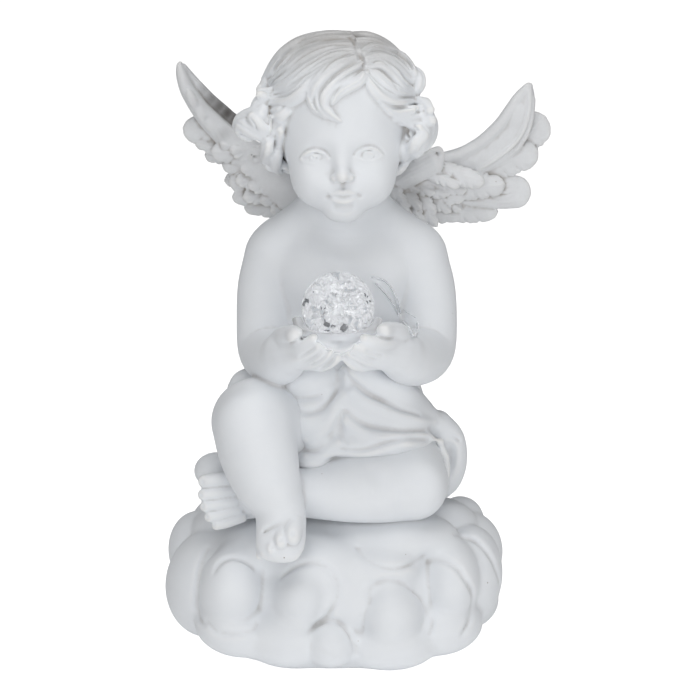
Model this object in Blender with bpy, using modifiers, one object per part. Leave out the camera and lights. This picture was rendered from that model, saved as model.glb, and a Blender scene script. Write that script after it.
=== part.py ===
"""Seated cherub on a cloud with a clear crackle ball in its cupped hands.

Metres, +Z up. The origin is the centre of the cloud's flat underside and the child faces -Y.
The casting is modelled like clay: balls, limbs and ribbons are laid over each other, fused by a
voxel remesh, smoothed, thinned out and cut flat below. The child is drawn on a grid of
DRAWN_HEIGHT units from seat to hair, so every length in its pose is a share of CHILD_HEIGHT.
"""

import math

import bmesh
import bpy
import numpy as np
from mathutils import Matrix, Vector

MM = 0.001

CHILD_HEIGHT = 193.5 * MM
CLOUD_WIDTH = 140.0 * MM
CLOUD_DEPTH = 126.0 * MM
CLOUD_HEIGHT = 57.0 * MM
BALL_DIAMETER = 28.5 * MM
GLUE_DIAMETER = 33.0 * MM
GLUE_UNDER_BALL = 2.4 * MM
GLUE_WRAP = 6.5 * MM
CLEARANCE = 0.3 * MM
VOXEL = 1.25 * MM
CASTING_TRIANGLES = 8700

DRAWN_HEIGHT = 193.5
DRAWN_SEAT = 57.0
MIDLINE = 3.4
PALM_POINT = (1.7, -43.5, 129.8)
HEAD_CENTRE = (3.6, 0.0, 214.0)

RESIN_COLOUR = (0.80, 0.81, 0.83, 1.0)
GLASS_COLOUR = (0.86, 0.90, 0.93, 1.0)
GLUE_COLOUR = (0.78, 0.82, 0.86, 1.0)


def clear_scene():
    for thing in list(bpy.data.objects):
        bpy.data.objects.remove(thing, do_unlink=True)


def collection(name):
    made = bpy.data.collections.new(name)
    bpy.context.scene.collection.children.link(made)
    return made


def material(name, colour, roughness, transmission=0.0):
    made = bpy.data.materials.new(name)
    made.use_nodes = True
    shader = made.node_tree.nodes["Principled BSDF"]
    shader.inputs["Base Color"].default_value = colour
    shader.inputs["Roughness"].default_value = roughness
    shader.inputs["Metallic"].default_value = 0.0
    shader.inputs["Transmission Weight"].default_value = transmission
    return made


def new_object(name, mesh, home, finish=None):
    made = bpy.data.objects.new(name, mesh)
    home.objects.link(made)
    if finish:
        mesh.materials.append(finish)
    return made


def settle(thing):
    """Applies the modifiers of an object to its mesh."""
    graph = bpy.context.evaluated_depsgraph_get()
    baked = bpy.data.meshes.new_from_object(thing.evaluated_get(graph))
    thing.modifiers.clear()
    thing.data = baked


# Clay tools: clay is a list of ellipsoids, each the matrix that makes it from a unit ball.

def on_child(point):
    """A point drawn on the child's grid, in metres."""
    unit = CHILD_HEIGHT / DRAWN_HEIGHT
    x, y, z = point
    return Vector((x * unit, y * unit, CLOUD_HEIGHT + (z - DRAWN_SEAT) * unit))


def child_size(length):
    return length * CHILD_HEIGHT / DRAWN_HEIGHT


def egg(clay, centre, radii, axes=None):
    """An ellipsoid in metres; axes are three unit vectors, or None for the world's own."""
    spread = Matrix.Diagonal((*radii, 1.0))
    turn = Matrix.Identity(4)
    if axes:
        turn = Matrix(axes).transposed().to_4x4()
    clay.append(Matrix.Translation(centre) @ turn @ spread)


def clay_mesh(name, clay, detail):
    """One mesh of all the clay's ellipsoids, from a single unit ball."""
    ball = bmesh.new()
    bmesh.ops.create_icosphere(ball, subdivisions=detail, radius=1.0)
    points = np.array([(*vertex.co, 1.0) for vertex in ball.verts])
    corners = np.array([[vertex.index for vertex in face.verts] for face in ball.faces])
    ball.free()
    places = np.array([np.array(matrix) for matrix in clay])
    spots = np.einsum("nij,kj->nki", places, points)[:, :, :3].reshape(-1, 3)
    shift = len(points) * np.arange(len(clay))[:, None, None]
    mesh = bpy.data.meshes.new(name)
    mesh.from_pydata(spots, [], (corners[None] + shift).reshape(-1, 3))
    return mesh


def lump(clay, centre, radii, turn=(0.0, 0.0, 0.0)):
    """An ellipsoid on the child's grid; turn is in degrees about X, Y and Z."""
    angles = [math.radians(value) for value in turn]
    rotation = Matrix.Rotation(angles[2], 3, "Z") @ Matrix.Rotation(angles[1], 3, "Y")
    rotation = rotation @ Matrix.Rotation(angles[0], 3, "X")
    axes = [rotation.col[0], rotation.col[1], rotation.col[2]]
    egg(clay, on_child(centre), [child_size(value) for value in radii], axes)


def smooth_path(rows, steps):
    """Catmull-Rom rows through the given rows; each row is x, y, z and any sizes."""
    ends = [rows[0]] + list(rows) + [rows[-1]]
    path = []
    for index in range(1, len(ends) - 2):
        before, start, end, after = ends[index - 1:index + 3]
        for step in range(steps):
            t = step / steps
            row = []
            for a, b, c, d in zip(before, start, end, after):
                bend = (2 * a - 5 * b + 4 * c - d) * t * t + (3 * b - a - 3 * c + d) * t ** 3
                row.append(0.5 * (2 * b + (c - a) * t + bend))
            path.append(row)
    path.append(list(rows[-1]))
    return path


def limb(clay, rows, steps=6):
    """A round limb through rows of x, y, z, radius on the child's grid."""
    for x, y, z, radius in smooth_path(rows, steps):
        size = child_size(radius)
        egg(clay, on_child((x, y, z)), (size, size, size))


def ribbon(clay, rows, away=None, facing=None, steps=6):
    """A flat lock or feather through rows of x, y, z, half width, half thickness.

    Its thin side points away from a centre point or along a facing direction.
    """
    path = smooth_path(rows, steps)
    for index, (x, y, z, wide, thick) in enumerate(path):
        low = Vector(path[max(index - 1, 0)][:3])
        high = Vector(path[min(index + 1, len(path) - 1)][:3])
        along = (high - low).normalized()
        out = Vector(facing) if facing else Vector((x, y, z)) - Vector(away)
        out = (out - along * out.dot(along)).normalized()
        across = along.cross(out)
        stretch = max((high - low).length * 0.75, thick)
        radii = [child_size(value) for value in (stretch, wide, thick)]
        egg(clay, on_child((x, y, z)), radii, (along, across, out))


def mirrored(rows):
    """Rows on the other side of the child's midline."""
    return [(2 * MIDLINE - row[0], *row[1:]) for row in rows]


# The child's body.

def torso(clay):
    trunk = [(4, 10, 72, 34, 25), (4, 8, 90, 35, 26), (4, 4, 106, 30.5, 24), (4, 4, 121, 28.5, 22.5),
             (4, 5, 136, 28, 21.5), (4, 5.5, 150, 28, 20.5), (4, 6, 162, 22, 17.5),
             (4, 6.5, 172, 17, 15.5), (4, 6, 184, 14.5, 14.5)]
    ribbon(clay, trunk, facing=(0, -1, 0))
    limb(clay, [(-22.5, 5, 158.5, 13), (4.5, 6, 163, 15.5), (32.5, 5, 158.5, 13)])
    for side in (-1, 1):
        limb(clay, [(4 + side * 10, 6, 177, 9), (4 + side * 22, 5.5, 167, 10.5)])
        lump(clay, (4 + side * 11, -6, 151), (13, 9, 12))


def arms(clay):
    rows = [(-23.6, 5, 158, 13), (-26.6, 3, 146, 12.8), (-27.4, 0, 133, 12.6), (-27.4, -5, 121.5, 12.6),
            (-24.5, -16, 119.5, 12), (-20.5, -28, 122.5, 10.2), (-16.5, -38, 126.5, 7.8)]
    limb(clay, rows)
    # the child's left elbow stands out a little further than the right
    spread = (2.2, 2.8, 3.4, 3.6, 2.6, 1.2, 0.0)
    limb(clay, [(row[0] + out, *row[1:]) for row, out in zip(mirrored(rows), spread)])


def hand_rows():
    """Palm, fingers and thumb of the hand at -X, before the mirror gives the other."""
    palm = [(-16, -39, 127.5, 7.4), (-10.5, -44, 127, 7.6), (-4.5, -48, 126.5, 6.8)]
    heel = [(-14, -37, 130, 5.6), (-14.5, -41, 133, 4.2)]
    thumb = [(-16.5, -40, 132, 3.8), (-16.6, -45, 135.2, 3.3), (-14.4, -47.5, 136.8, 2.8)]
    fingers = [
        [(-14.5, -45, 128, 4.0), (-13, -53, 130, 3.5), (-9.4, -56.5, 134.6, 3.1)],
        [(-10, -48, 126.5, 4.0), (-8.4, -56.5, 128.5, 3.6), (-5.2, -58.5, 133.4, 3.1)],
        [(-6, -49, 125.5, 3.9), (-4.2, -57, 126.8, 3.5), (-1.5, -58.5, 131, 3.0)],
        [(-2, -49, 124.5, 3.6), (0.3, -56.5, 125.4, 3.2), (2.2, -57.5, 129, 2.7)],
    ]
    return [palm, heel, thumb] + fingers


def hands(clay):
    for rows in hand_rows():
        limb(clay, rows, 4)
        limb(clay, mirrored(rows), 4)


def legs(clay):
    right_thigh = [(-12, 4, 84, 19), (-22, -12, 92, 18), (-31, -27, 98, 16.4)]
    right_shin = [(-32.5, -31, 97.5, 16.2), (-29.5, -38, 88, 15.4), (-26, -43, 78, 13.4),
                  (-21.5, -47, 68, 9.4), (-19.5, -50, 62, 8.8)]
    left_thigh = [(20, 4, 80, 19), (27, -10, 74, 17), (31, -22, 71.5, 14.4)]
    left_shin = [(30.5, -25, 70.5, 14), (18, -30, 70, 12), (4, -32, 70, 11),
                 (-12, -31, 69, 9.6), (-26, -29, 68, 8.6)]
    for rows in (right_thigh, right_shin, left_thigh, left_shin):
        limb(clay, rows)
    lump(clay, (12, -19, 72), (24, 18, 14))


def feet(clay):
    limb(clay, [(-20, -47, 61, 8.4), (-18.5, -53, 59, 7.4), (-20.5, -57.5, 55.5, 6.2)])
    limb(clay, [(-24, -51, 57, 6.2), (-26, -56, 52.5, 4.6)])
    for x, y, z, radius in ((-14.6, -60, 57.2, 3.9), (-19.6, -62, 53.6, 3.0), (-23.6, -62, 51.2, 2.7),
                            (-27.0, -61, 49.4, 2.5), (-30.0, -59, 48.6, 2.2)):
        limb(clay, [(x * 0.9 - 2, y + 7, z + 2.5, radius), (x, y, z, radius)], 4)
    limb(clay, [(-28, -28, 67.5, 9.0), (-37, -29, 67, 9.2), (-43, -30, 66, 8.4)])
    for z, radius, reach in ((74.2, 3.6, -50.5), (69.2, 3.0, -51.5), (65.0, 2.7, -51.0),
                             (61.2, 2.5, -49.5), (57.9, 2.3, -47.0)):
        limb(clay, [(reach + 9, -30, z - 0.6, radius), (reach, -32, z, radius)], 4)
    lump(clay, (-48, -15, 74), (9, 9, 7))


def head(clay):
    lump(clay, HEAD_CENTRE, (28, 29, 30))
    lump(clay, (3.6, -8.5, 204), (23.8, 21.5, 22))
    lump(clay, (3.6, -14.5, 189), (13.6, 13.2, 11))
    lump(clay, (3.6, -24, 181), (5, 4, 4.4))
    for side in (-1, 1):
        lump(clay, (3.6 + side * 10.2, -16.5, 193.5), (11.2, 11.4, 11.4))
    limb(clay, [(3.6, -27.2, 206, 2.6), (3.6, -30.4, 198.8, 3.0)], 5)
    for side in (-1, 1):
        lump(clay, (3.6 + side * 2.4, -29.6, 197.6), (2.2, 2.4, 1.9))
        lump(clay, (3.6 + side * 10.2, -24.6, 205.2), (4.8, 3.4, 3.0))
    lump(clay, (3.6, -26.8, 189.8), (4.6, 3.2, 1.9))
    lump(clay, (3.6, -26.4, 186.6), (3.8, 3.0, 1.9))


# Hair: one cap, long locks from the parting and rings of curls.

def hair(clay):
    lump(clay, (3.5, 3, 219), (30.6, 32, 29.2))
    lump(clay, (4, -7, 226), (29.4, 26, 20.4))
    for rows in front_locks():
        ribbon(clay, rows, away=HEAD_CENTRE)
    for level, radius_x, radius_y, count, size in ((237, 18, 21, 5, 9.5), (222, 27, 28, 7, 10),
                                                  (207, 29, 27, 8, 9.6), (194, 25, 22, 7, 8.4)):
        for index in range(count):
            angle = math.radians(190.0) * index / (count - 1) - math.radians(5.0)
            bob = 2.2 * math.sin(2.4 * index + level)
            curl(clay, (HEAD_CENTRE[0] + radius_x * math.cos(angle),
                        HEAD_CENTRE[1] + 2 + radius_y * math.sin(angle), level + bob), size, index)


def front_locks():
    """Locks over the brow and beside the cheeks: x, y, z, half width, half thickness."""
    return [
        [(8, -14, 245.5, 4, 2.5), (-6, -21, 242, 5.5, 3), (-17, -24, 233, 5.5, 3.2),
         (-25, -20, 225, 4.5, 3.2), (-31, -14, 223.5, 3.2, 2.6)],
        [(9, -20, 243, 4, 2.5), (-2, -28, 237, 5, 3), (-11, -30, 229, 5, 3),
         (-18, -28, 223, 4, 2.8), (-25, -23, 220.5, 2.6, 2.2)],
        [(10, -24, 240, 3.5, 2.5), (2, -31, 233, 5, 3.2), (-4, -34, 226.5, 5, 3.4),
         (-3, -35, 221, 3.6, 3), (2.5, -34.5, 218.4, 2, 2)],
        [(11, -23, 240, 3.5, 2.4), (15, -30, 231.5, 4, 3), (21, -29.5, 225, 4, 3),
         (28, -24.5, 222, 3.4, 2.8), (33, -18, 222.5, 2.6, 2.2)],
        [(11, -18, 242, 4, 2.5), (18.6, -23, 235.5, 5, 3.2), (25.6, -20, 229, 5, 3.2),
         (32, -12, 225.5, 4, 3), (35.4, -5, 226, 2.6, 2.2)],
        [(10, -12, 245.4, 4, 2.4), (18, -14, 241.4, 5, 3), (25.4, -9, 235, 5, 3),
         (31, -2, 229.6, 3.4, 2.6)],
        [(4, -6, 247.6, 5, 2.2), (-9, -8, 244.6, 6, 3), (-19.6, -8, 238, 5.5, 3.2),
         (-27, -6, 229, 4, 2.6)],
        [(-27, -17, 222, 4, 3), (-32.5, -14, 214, 5, 3.6), (-34.5, -12, 206, 4.4, 3.4),
         (-30, -14, 199, 3.2, 2.8), (-25, -16, 203, 2.2, 2.0)],
        [(32, -17, 220, 4, 3), (36, -12, 212, 5, 3.6), (37, -9, 204, 4.4, 3.4),
         (33, -13, 197.5, 3.4, 2.8), (28, -16, 200, 2.2, 2.0)],
        [(-26, -14, 204, 3.4, 2.8), (-31, -9, 196, 4.2, 3.2), (-26, -9, 188, 3.4, 2.8)],
        [(32, -12, 203, 3.4, 2.8), (36, -6, 196, 4.2, 3.2), (31, -7, 188, 3.4, 2.8)],
    ]


def curl(clay, centre, size, index):
    """A curl: a lock wound once round a point on the head."""
    out = (Vector(centre) - Vector(HEAD_CENTRE)).normalized()
    side = out.cross(Vector((0, 0, 1)))
    side = side.normalized() if side.length > 0.05 else Vector((1, 0, 0))
    rise = side.cross(out)
    hand = 1 if index % 2 else -1
    rows = []
    for step in range(7):
        angle = math.radians(60 * step) * hand + 0.8 * index
        reach = size * (0.82 - 0.10 * step)
        spot = Vector(centre) + side * (reach * math.cos(angle)) + rise * (reach * math.sin(angle))
        spot += out * (0.35 * step)
        rows.append((*spot, size * (0.42 - 0.03 * step), size * (0.44 - 0.02 * step)))
    ribbon(clay, rows, away=HEAD_CENTRE, steps=2)


# Wings: a smooth horn along the leading edge and rows of feathers below it.

def wing(clay, horn, feathers):
    """Horn rows and feathers, each a start and a tip on the child's grid."""
    ribbon(clay, horn, facing=(0, -1, 0.1))
    for start, tip in feathers:
        ribbon(clay, feather(start, tip), facing=(0, -1, 0.15), steps=5)


def feather(start, tip):
    """Rows of one feather from its start to its rounded tip."""
    rows = []
    for share, wide in ((0.0, 4.6), (0.35, 5.6), (0.7, 5.4), (0.92, 3.6)):
        sag = 1.6 * math.sin(math.pi * share)
        spot = [a + (b - a) * share for a, b in zip(start, tip)]
        rows.append((spot[0], spot[1], spot[2] - sag, wide, 2.6))
    return rows


def left_wing(clay):
    """The wing at +X, the child's left."""
    horn = [(12, 25, 170, 8, 6), (26, 28, 181, 9, 6.5), (41, 29, 188.5, 7.4, 6.5), (54.8, 30, 193.8, 6.8, 6),
            (65, 30, 199.6, 6.8, 5.6), (73, 30, 207.4, 6.2, 5), (78, 30, 217.4, 4.5, 4.2),
            (79.9, 30, 223.4, 1.8, 2.2)]
    feathers = [
        ((66, 31, 196), (87.6, 32, 204.5)), ((68, 31, 200), (89.4, 32, 209)),
        ((60, 31, 191), (84.6, 31, 196.8)), ((56, 30, 184), (81.6, 30, 182.6)),
        ((52, 30, 181), (81, 30, 178.4)), ((46, 30, 176), (67.4, 30, 172)),
        ((38, 30, 178), (54, 30, 170.6)), ((30, 29, 178), (45, 29, 169.8)),
        ((24, 28, 176), (36, 28, 171)), ((50, 27, 188), (67, 27, 185)),
        ((42, 26, 184), (57, 26, 179)), ((34, 25, 182), (48, 25, 176)),
        ((26, 24, 179), (38, 24, 173)), ((48, 22, 190), (58, 20, 187)),
    ]
    wing(clay, horn, feathers)


def right_wing(clay):
    """The wing at -X, the child's right, seen steeper than the other."""
    horn = [(-5, 25, 170, 8, 6), (-18, 28, 183, 9, 6.5), (-31, 29, 194.5, 8, 6.5),
            (-43, 30, 203, 7, 6), (-52, 30, 212, 6, 5), (-58.5, 30, 222, 4, 3.6), (-62.2, 30, 231, 1.8, 1.8)]
    feathers = [
        ((-46, 31, 205), (-62.6, 31, 206.6)), ((-42, 31, 201), (-58, 31, 200.5)),
        ((-36, 30, 197), (-50.8, 29, 197)), ((-31, 30, 192), (-45.4, 29, 190.8)),
        ((-27, 30, 188), (-43.6, 29, 184.8)), ((-22, 29, 182), (-41.8, 29, 178.8)),
        ((-16, 29, 178), (-36.4, 29, 174)), ((-10, 28, 176), (-25, 28, 172)),
        ((-32, 26, 198), (-42, 26, 196)), ((-26, 25, 191), (-36, 25, 188)), ((-20, 24, 185), (-30, 25, 181)),
        ((-14, 23, 180), (-23, 24, 176)),
    ]
    wing(clay, horn, feathers)


# Drapery round the hips: a wrapped body of cloth, fold ridges and a tail at +X.

def drapery(clay):
    lump(clay, (3.4, 9, 87), (39.8, 29, 21.4))
    lump(clay, (-10, -11.4, 100), (16, 19, 19))
    lump(clay, (6, -12.6, 101), (19, 19.5, 19.5))
    lump(clay, (10, -19, 84), (24, 13.6, 7.5))
    lump(clay, (21, -8, 95), (18.5, 20.5, 16))
    lump(clay, (14, -15, 91), (27, 17, 10))
    lump(clay, (28, 11, 74), (19, 20, 20))
    lump(clay, (-25, 1, 97), (17, 19, 16))
    for rows in fold_rows():
        ribbon(clay, rows, away=(4, 6, 92))
    tail = [(36, -8, 98, 8, 5), (45, -4, 91, 7, 5), (48.5, 0, 81, 6, 4.5), (49, 1, 70, 5.6, 4),
            (46.5, 0, 61, 4, 3)]
    ribbon(clay, tail, away=(30, 20, 80))


def fold_rows():
    """Fold ridges of the drapery: x, y, z, half width, half thickness."""
    return [
        [(-9, -28, 122, 3.5, 2.5), (-14, -29, 113, 4, 3), (-13, -30, 105, 4, 3),
         (-5, -31, 104, 4, 3), (2, -31, 114, 3, 2.4)],
        [(-20, -24, 112, 3, 2.5), (-20, -29, 100, 4, 3), (-13, -32, 91, 4, 3),
         (-3, -33, 92, 4, 3), (3, -33, 104, 3, 2.4)],
        [(-22, -26, 98, 3, 2.4), (-12, -33, 86.5, 3.4, 2.6), (4, -33, 88, 3.4, 2.6),
         (18, -32, 88.5, 3.4, 2.6), (32, -28, 90, 3.2, 2.6), (44, -18, 89, 3, 2.4)],
        [(5, -33, 117, 3.4, 2.6), (11, -34, 107, 3.6, 2.8), (21, -32, 101, 3.6, 2.8),
         (34, -24, 97, 3.4, 2.6), (44, -12, 94, 3, 2.4)],
        [(6, -32, 112, 3, 2.4), (9, -34, 102, 3.4, 2.6), (19, -33, 95, 3.4, 2.6),
         (32, -27, 93, 3.2, 2.4)],
        [(4, -30, 119, 4, 3), (14, -27.5, 114.6, 5, 3.6), (24.6, -21, 107.6, 5.6, 4),
         (33.4, -12.5, 100, 5.6, 4), (41, -3, 92.6, 5, 3.6)],
        [(16, -17, 113.6, 3.4, 2.6), (26, -9, 107.4, 3.6, 3), (34.5, 2, 100.4, 3.6, 3)],
        [(-35, 2, 101, 5.6, 5), (-30, -7, 109, 5.6, 5), (-22, -15, 115, 5, 4)],
    ]


# The cloud: a squashed core with rows of rounded lobes.

def cloud_point(angle, reach, level):
    """A point by its angle in degrees from -Y, share of the half width and share of the height."""
    turn = math.radians(angle)
    return Vector((reach * 0.5 * CLOUD_WIDTH * math.sin(turn),
                   -reach * 0.5 * CLOUD_DEPTH * math.cos(turn), level * CLOUD_HEIGHT))


def cloud(clay):
    core = (0.42 * CLOUD_WIDTH, 0.42 * CLOUD_DEPTH, 0.55 * CLOUD_HEIGHT)
    egg(clay, Vector((0, 0, 0.46 * CLOUD_HEIGHT)), core)
    foot = (0.38 * CLOUD_WIDTH, 0.38 * CLOUD_DEPTH, 0.32 * CLOUD_HEIGHT)
    egg(clay, Vector((0, 0, 0.14 * CLOUD_HEIGHT)), foot)
    for angle, reach, level, size, tall in cloud_lobes():
        width = size * 0.5 * CLOUD_WIDTH
        egg(clay, cloud_point(angle, reach, level), (width, width, tall * CLOUD_HEIGHT))


def cloud_lobes():
    """Lobes: angle from the front, reach, level, size as shares, and half height as a share."""
    front = [
        (-78, 0.74, 0.52, 0.27, 0.33), (-52, 0.70, 0.48, 0.30, 0.36), (-16, 0.68, 0.36, 0.32, 0.38),
        (3, 0.70, 0.20, 0.28, 0.26), (21, 0.70, 0.36, 0.30, 0.38), (46, 0.71, 0.42, 0.29, 0.38),
        (73, 0.74, 0.46, 0.27, 0.36), (98, 0.72, 0.52, 0.28, 0.36), (-38, 0.58, 0.22, 0.34, 0.28),
        (34, 0.62, 0.18, 0.32, 0.26), (-68, 0.60, 0.22, 0.32, 0.28), (68, 0.62, 0.20, 0.32, 0.28),
    ]
    back = []
    for index in range(6):
        angle = 122 + 27.5 * index
        back.append((angle, 0.71, 0.46 + 0.05 * math.sin(2.0 * index), 0.30, 0.36))
        back.append((angle + 13, 0.60, 0.20, 0.33, 0.28))
    upper = []
    for index in range(9):
        angle = 62 + 29.5 * index
        upper.append((angle, 0.55, 0.78, 0.27 + 0.03 * math.cos(3.0 * index), 0.26))
    seat = [(0, 0.30, 0.78, 0.40, 0.28), (120, 0.28, 0.80, 0.42, 0.28), (240, 0.28, 0.80, 0.42, 0.28),
            (14, 0.54, 0.62, 0.24, 0.22), (38, 0.52, 0.66, 0.24, 0.22), (-14, 0.56, 0.56, 0.26, 0.24),
            (2, 0.62, 0.46, 0.26, 0.26)]
    return front + back + upper + seat


# Ball, glue seat and the socket that the seat's own shape cuts in the palms.

def ball_centre():
    return on_child(PALM_POINT) + Vector((0, 0, GLUE_UNDER_BALL + BALL_DIAMETER / 2))


def crystal_ball(home, finish):
    mesh = bpy.data.meshes.new("crystal_ball")
    shape = bmesh.new()
    bmesh.ops.create_uvsphere(shape, u_segments=24, v_segments=14, radius=BALL_DIAMETER / 2)
    shape.to_mesh(mesh)
    shape.free()
    mesh.shade_smooth()
    made = new_object("crystal_ball", mesh, home, finish)
    made.location = ball_centre()
    return made


def seat_outline(grow):
    """The glue's outer side as radius and height over the palm point, from rim to bottom."""
    rim = GLUE_DIAMETER / 2 + grow
    depth = GLUE_UNDER_BALL + GLUE_WRAP
    outline = []
    for step in range(7):
        angle = math.radians(90 * step / 6)
        outline.append((rim * math.cos(angle), depth * (1 - math.sin(angle)) - grow * math.sin(angle)))
    return outline


def turned(name, profile, home, finish=None):
    """A solid of revolution about Z from a profile that starts at the rim and ends on the axis."""
    mesh = bpy.data.meshes.new(name)
    points = [(radius, 0.0, height) for radius, height in profile]
    edges = [(index, index + 1) for index in range(len(points) - 1)]
    mesh.from_pydata(points, edges, [])
    made = new_object(name, mesh, home, finish)
    screw = made.modifiers.new("turn", "SCREW")
    screw.steps = 24
    screw.render_steps = 24
    screw.use_merge_vertices = True
    screw.merge_threshold = 0.00001
    screw.use_smooth_shade = True
    return made


def clear_glue_seat(home, finish):
    """A dish of glue with a spherical recess that the ball sits in."""
    recess = BALL_DIAMETER / 2 + CLEARANCE
    middle = GLUE_UNDER_BALL + BALL_DIAMETER / 2
    depth = GLUE_UNDER_BALL + GLUE_WRAP
    half_open = math.acos((middle - depth) / recess)
    hollow = []
    for step in range(7):
        angle = half_open * step / 6
        hollow.append((recess * math.sin(angle), middle - recess * math.cos(angle)))
    made = turned("clear_glue_seat", hollow + seat_outline(0.0), home, finish)
    made.location = on_child(PALM_POINT)
    return made


def seat_cutter(home):
    """The socket for the glue: the seat grown by the clearance, open above."""
    depth = GLUE_UNDER_BALL + GLUE_WRAP
    top = depth + BALL_DIAMETER
    rim = GLUE_DIAMETER / 2 + CLEARANCE
    made = turned("seat_cutter", [(0.0, top), (rim, top)] + seat_outline(CLEARANCE), home)
    made.location = on_child(PALM_POINT)
    made.hide_render = True
    made.display_type = "WIRE"
    return made


# The casting.

def triangles(mesh):
    return sum(len(face.vertices) - 2 for face in mesh.polygons)


def cut_flat(thing):
    """Cuts the casting at the table plane and caps the underside."""
    shape = bmesh.new()
    shape.from_mesh(thing.data)
    everything = shape.verts[:] + shape.edges[:] + shape.faces[:]
    cut = bmesh.ops.bisect_plane(shape, geom=everything, plane_co=(0, 0, 0), plane_no=(0, 0, 1),
                                 clear_inner=True, dist=0.02 * MM)
    rim = [part for part in cut["geom_cut"] if isinstance(part, bmesh.types.BMEdge)]
    bmesh.ops.contextual_create(shape, geom=rim)
    bmesh.ops.recalc_face_normals(shape, faces=shape.faces[:])
    shape.to_mesh(thing.data)
    shape.free()


def angel_casting(home, finish, cutter):
    clay = []
    cloud(clay)
    torso(clay)
    arms(clay)
    hands(clay)
    legs(clay)
    feet(clay)
    head(clay)
    hair(clay)
    left_wing(clay)
    right_wing(clay)
    drapery(clay)
    made = new_object("angel_casting", clay_mesh("angel_casting", clay, detail=3), home)
    fuse = made.modifiers.new("fuse", "REMESH")
    fuse.mode = "VOXEL"
    fuse.voxel_size = VOXEL
    soften = made.modifiers.new("soften", "SMOOTH")
    soften.factor = 0.5
    soften.iterations = 5
    settle(made)
    thin = made.modifiers.new("thin", "DECIMATE")
    thin.ratio = CASTING_TRIANGLES / triangles(made.data)
    settle(made)
    cut_flat(made)
    socket = made.modifiers.new("socket", "BOOLEAN")
    socket.operation = "DIFFERENCE"
    socket.object = cutter
    made.data.materials.append(finish)
    return made


def build():
    clear_scene()
    home = collection("angel_figurine")
    tools = collection("cutters")
    resin = material("white_resin", RESIN_COLOUR, 0.55)
    glass = material("crackle_glass", GLASS_COLOUR, 0.05, transmission=1.0)
    glue = material("clear_glue", GLUE_COLOUR, 0.15, transmission=0.8)
    cutter = seat_cutter(tools)
    angel_casting(home, resin, cutter)
    crystal_ball(home, glass)
    clear_glue_seat(home, glue)


build()
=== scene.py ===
import math
import random

import bmesh
import bpy
import numpy as np
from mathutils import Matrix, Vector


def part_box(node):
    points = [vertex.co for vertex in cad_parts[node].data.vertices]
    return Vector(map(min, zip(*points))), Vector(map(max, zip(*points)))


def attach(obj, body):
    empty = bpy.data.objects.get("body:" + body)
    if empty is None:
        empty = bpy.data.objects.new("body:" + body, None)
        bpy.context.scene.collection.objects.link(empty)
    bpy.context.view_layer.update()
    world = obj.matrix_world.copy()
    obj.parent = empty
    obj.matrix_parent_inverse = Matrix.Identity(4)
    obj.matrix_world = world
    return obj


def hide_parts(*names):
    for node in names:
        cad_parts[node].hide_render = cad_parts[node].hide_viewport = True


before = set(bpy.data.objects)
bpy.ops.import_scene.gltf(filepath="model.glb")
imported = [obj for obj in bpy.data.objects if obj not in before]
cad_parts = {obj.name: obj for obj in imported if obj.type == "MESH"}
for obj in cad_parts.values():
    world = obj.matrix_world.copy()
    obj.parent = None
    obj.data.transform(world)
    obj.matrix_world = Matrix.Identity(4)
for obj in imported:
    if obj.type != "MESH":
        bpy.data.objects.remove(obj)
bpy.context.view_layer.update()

import openvdb
from mathutils import Euler, Vector

# Everything is sculpted in millimetres on the figure's own height, then scaled to the frame.
castingLow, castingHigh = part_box("angel_casting")
drawnHeight = 249.7
unit = (castingHigh[2] - castingLow[2]) / drawnHeight
midline = 3.4
headCentre = (3.6, 0.0, 214.0)
coarse = 1.0
parts = {}  # clay of every sculpted piece, kept for the dust tint and painted shade in the hollows


# Clay: a block of numbers on a regular grid, the distance to the surface, below zero inside.
class Clay:
    def __init__(self, low, high, cell, band=4.0):
        self.cell = cell * coarse
        self.band = band
        self.low = np.array(low, float)
        self.size = np.ceil((np.array(high, float) - self.low) / self.cell).astype(int) + 1
        self.field = np.full(self.size, band, np.float32)

    def window(self, low, high):
        first = np.floor((np.asarray(low) - self.low) / self.cell).astype(int)
        last = np.ceil((np.asarray(high) - self.low) / self.cell).astype(int) + 1
        first = np.clip(first, 0, self.size)
        last = np.clip(last, 0, self.size)
        if np.any(last <= first):
            return None, None
        spans = tuple(slice(a, b) for a, b in zip(first, last))
        axes = [np.arange(a, b, dtype=np.float32) * self.cell + start
                for a, b, start in zip(first, last, self.low.astype(np.float32))]
        return spans, (axes[0][:, None, None], axes[1][None, :, None], axes[2][None, None, :])

    def merge(self, spans, shape, blend, cut=False):
        here = self.field[spans]
        if cut:
            here = -here
        if blend > 0:
            share = np.clip(0.5 + 0.5 * (here - shape) / blend, 0, 1)
            out = here + (shape - here) * share - blend * share * (1 - share)
        else:
            out = np.minimum(here, shape)
        self.field[spans] = -out if cut else out


def egg(clay, centre, radii, turn=(0, 0, 0), blend=2.0, cut=False):
    radii = np.array(radii, np.float32)
    grow = blend + clay.band
    reach = radii + grow if not any(turn) else np.full(3, radii.max() + grow)
    spans, axes = clay.window(np.array(centre) - reach, np.array(centre) + reach)
    if spans is None:
        return
    x, y, z = (axis - middle for axis, middle in zip(axes, centre))
    if any(turn):
        m = np.array(Euler([math.radians(a) for a in turn]).to_matrix())
        x, y, z = (x * m[0][i] + y * m[1][i] + z * m[2][i] for i in range(3))
    near = np.sqrt((x / radii[0]) ** 2 + (y / radii[1]) ** 2 + (z / radii[2]) ** 2)
    steep = np.sqrt((x / radii[0] ** 2) ** 2 + (y / radii[1] ** 2) ** 2 + (z / radii[2] ** 2) ** 2)
    clay.merge(spans, near * (near - 1) / np.maximum(steep, 1e-4), blend, cut)


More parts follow.
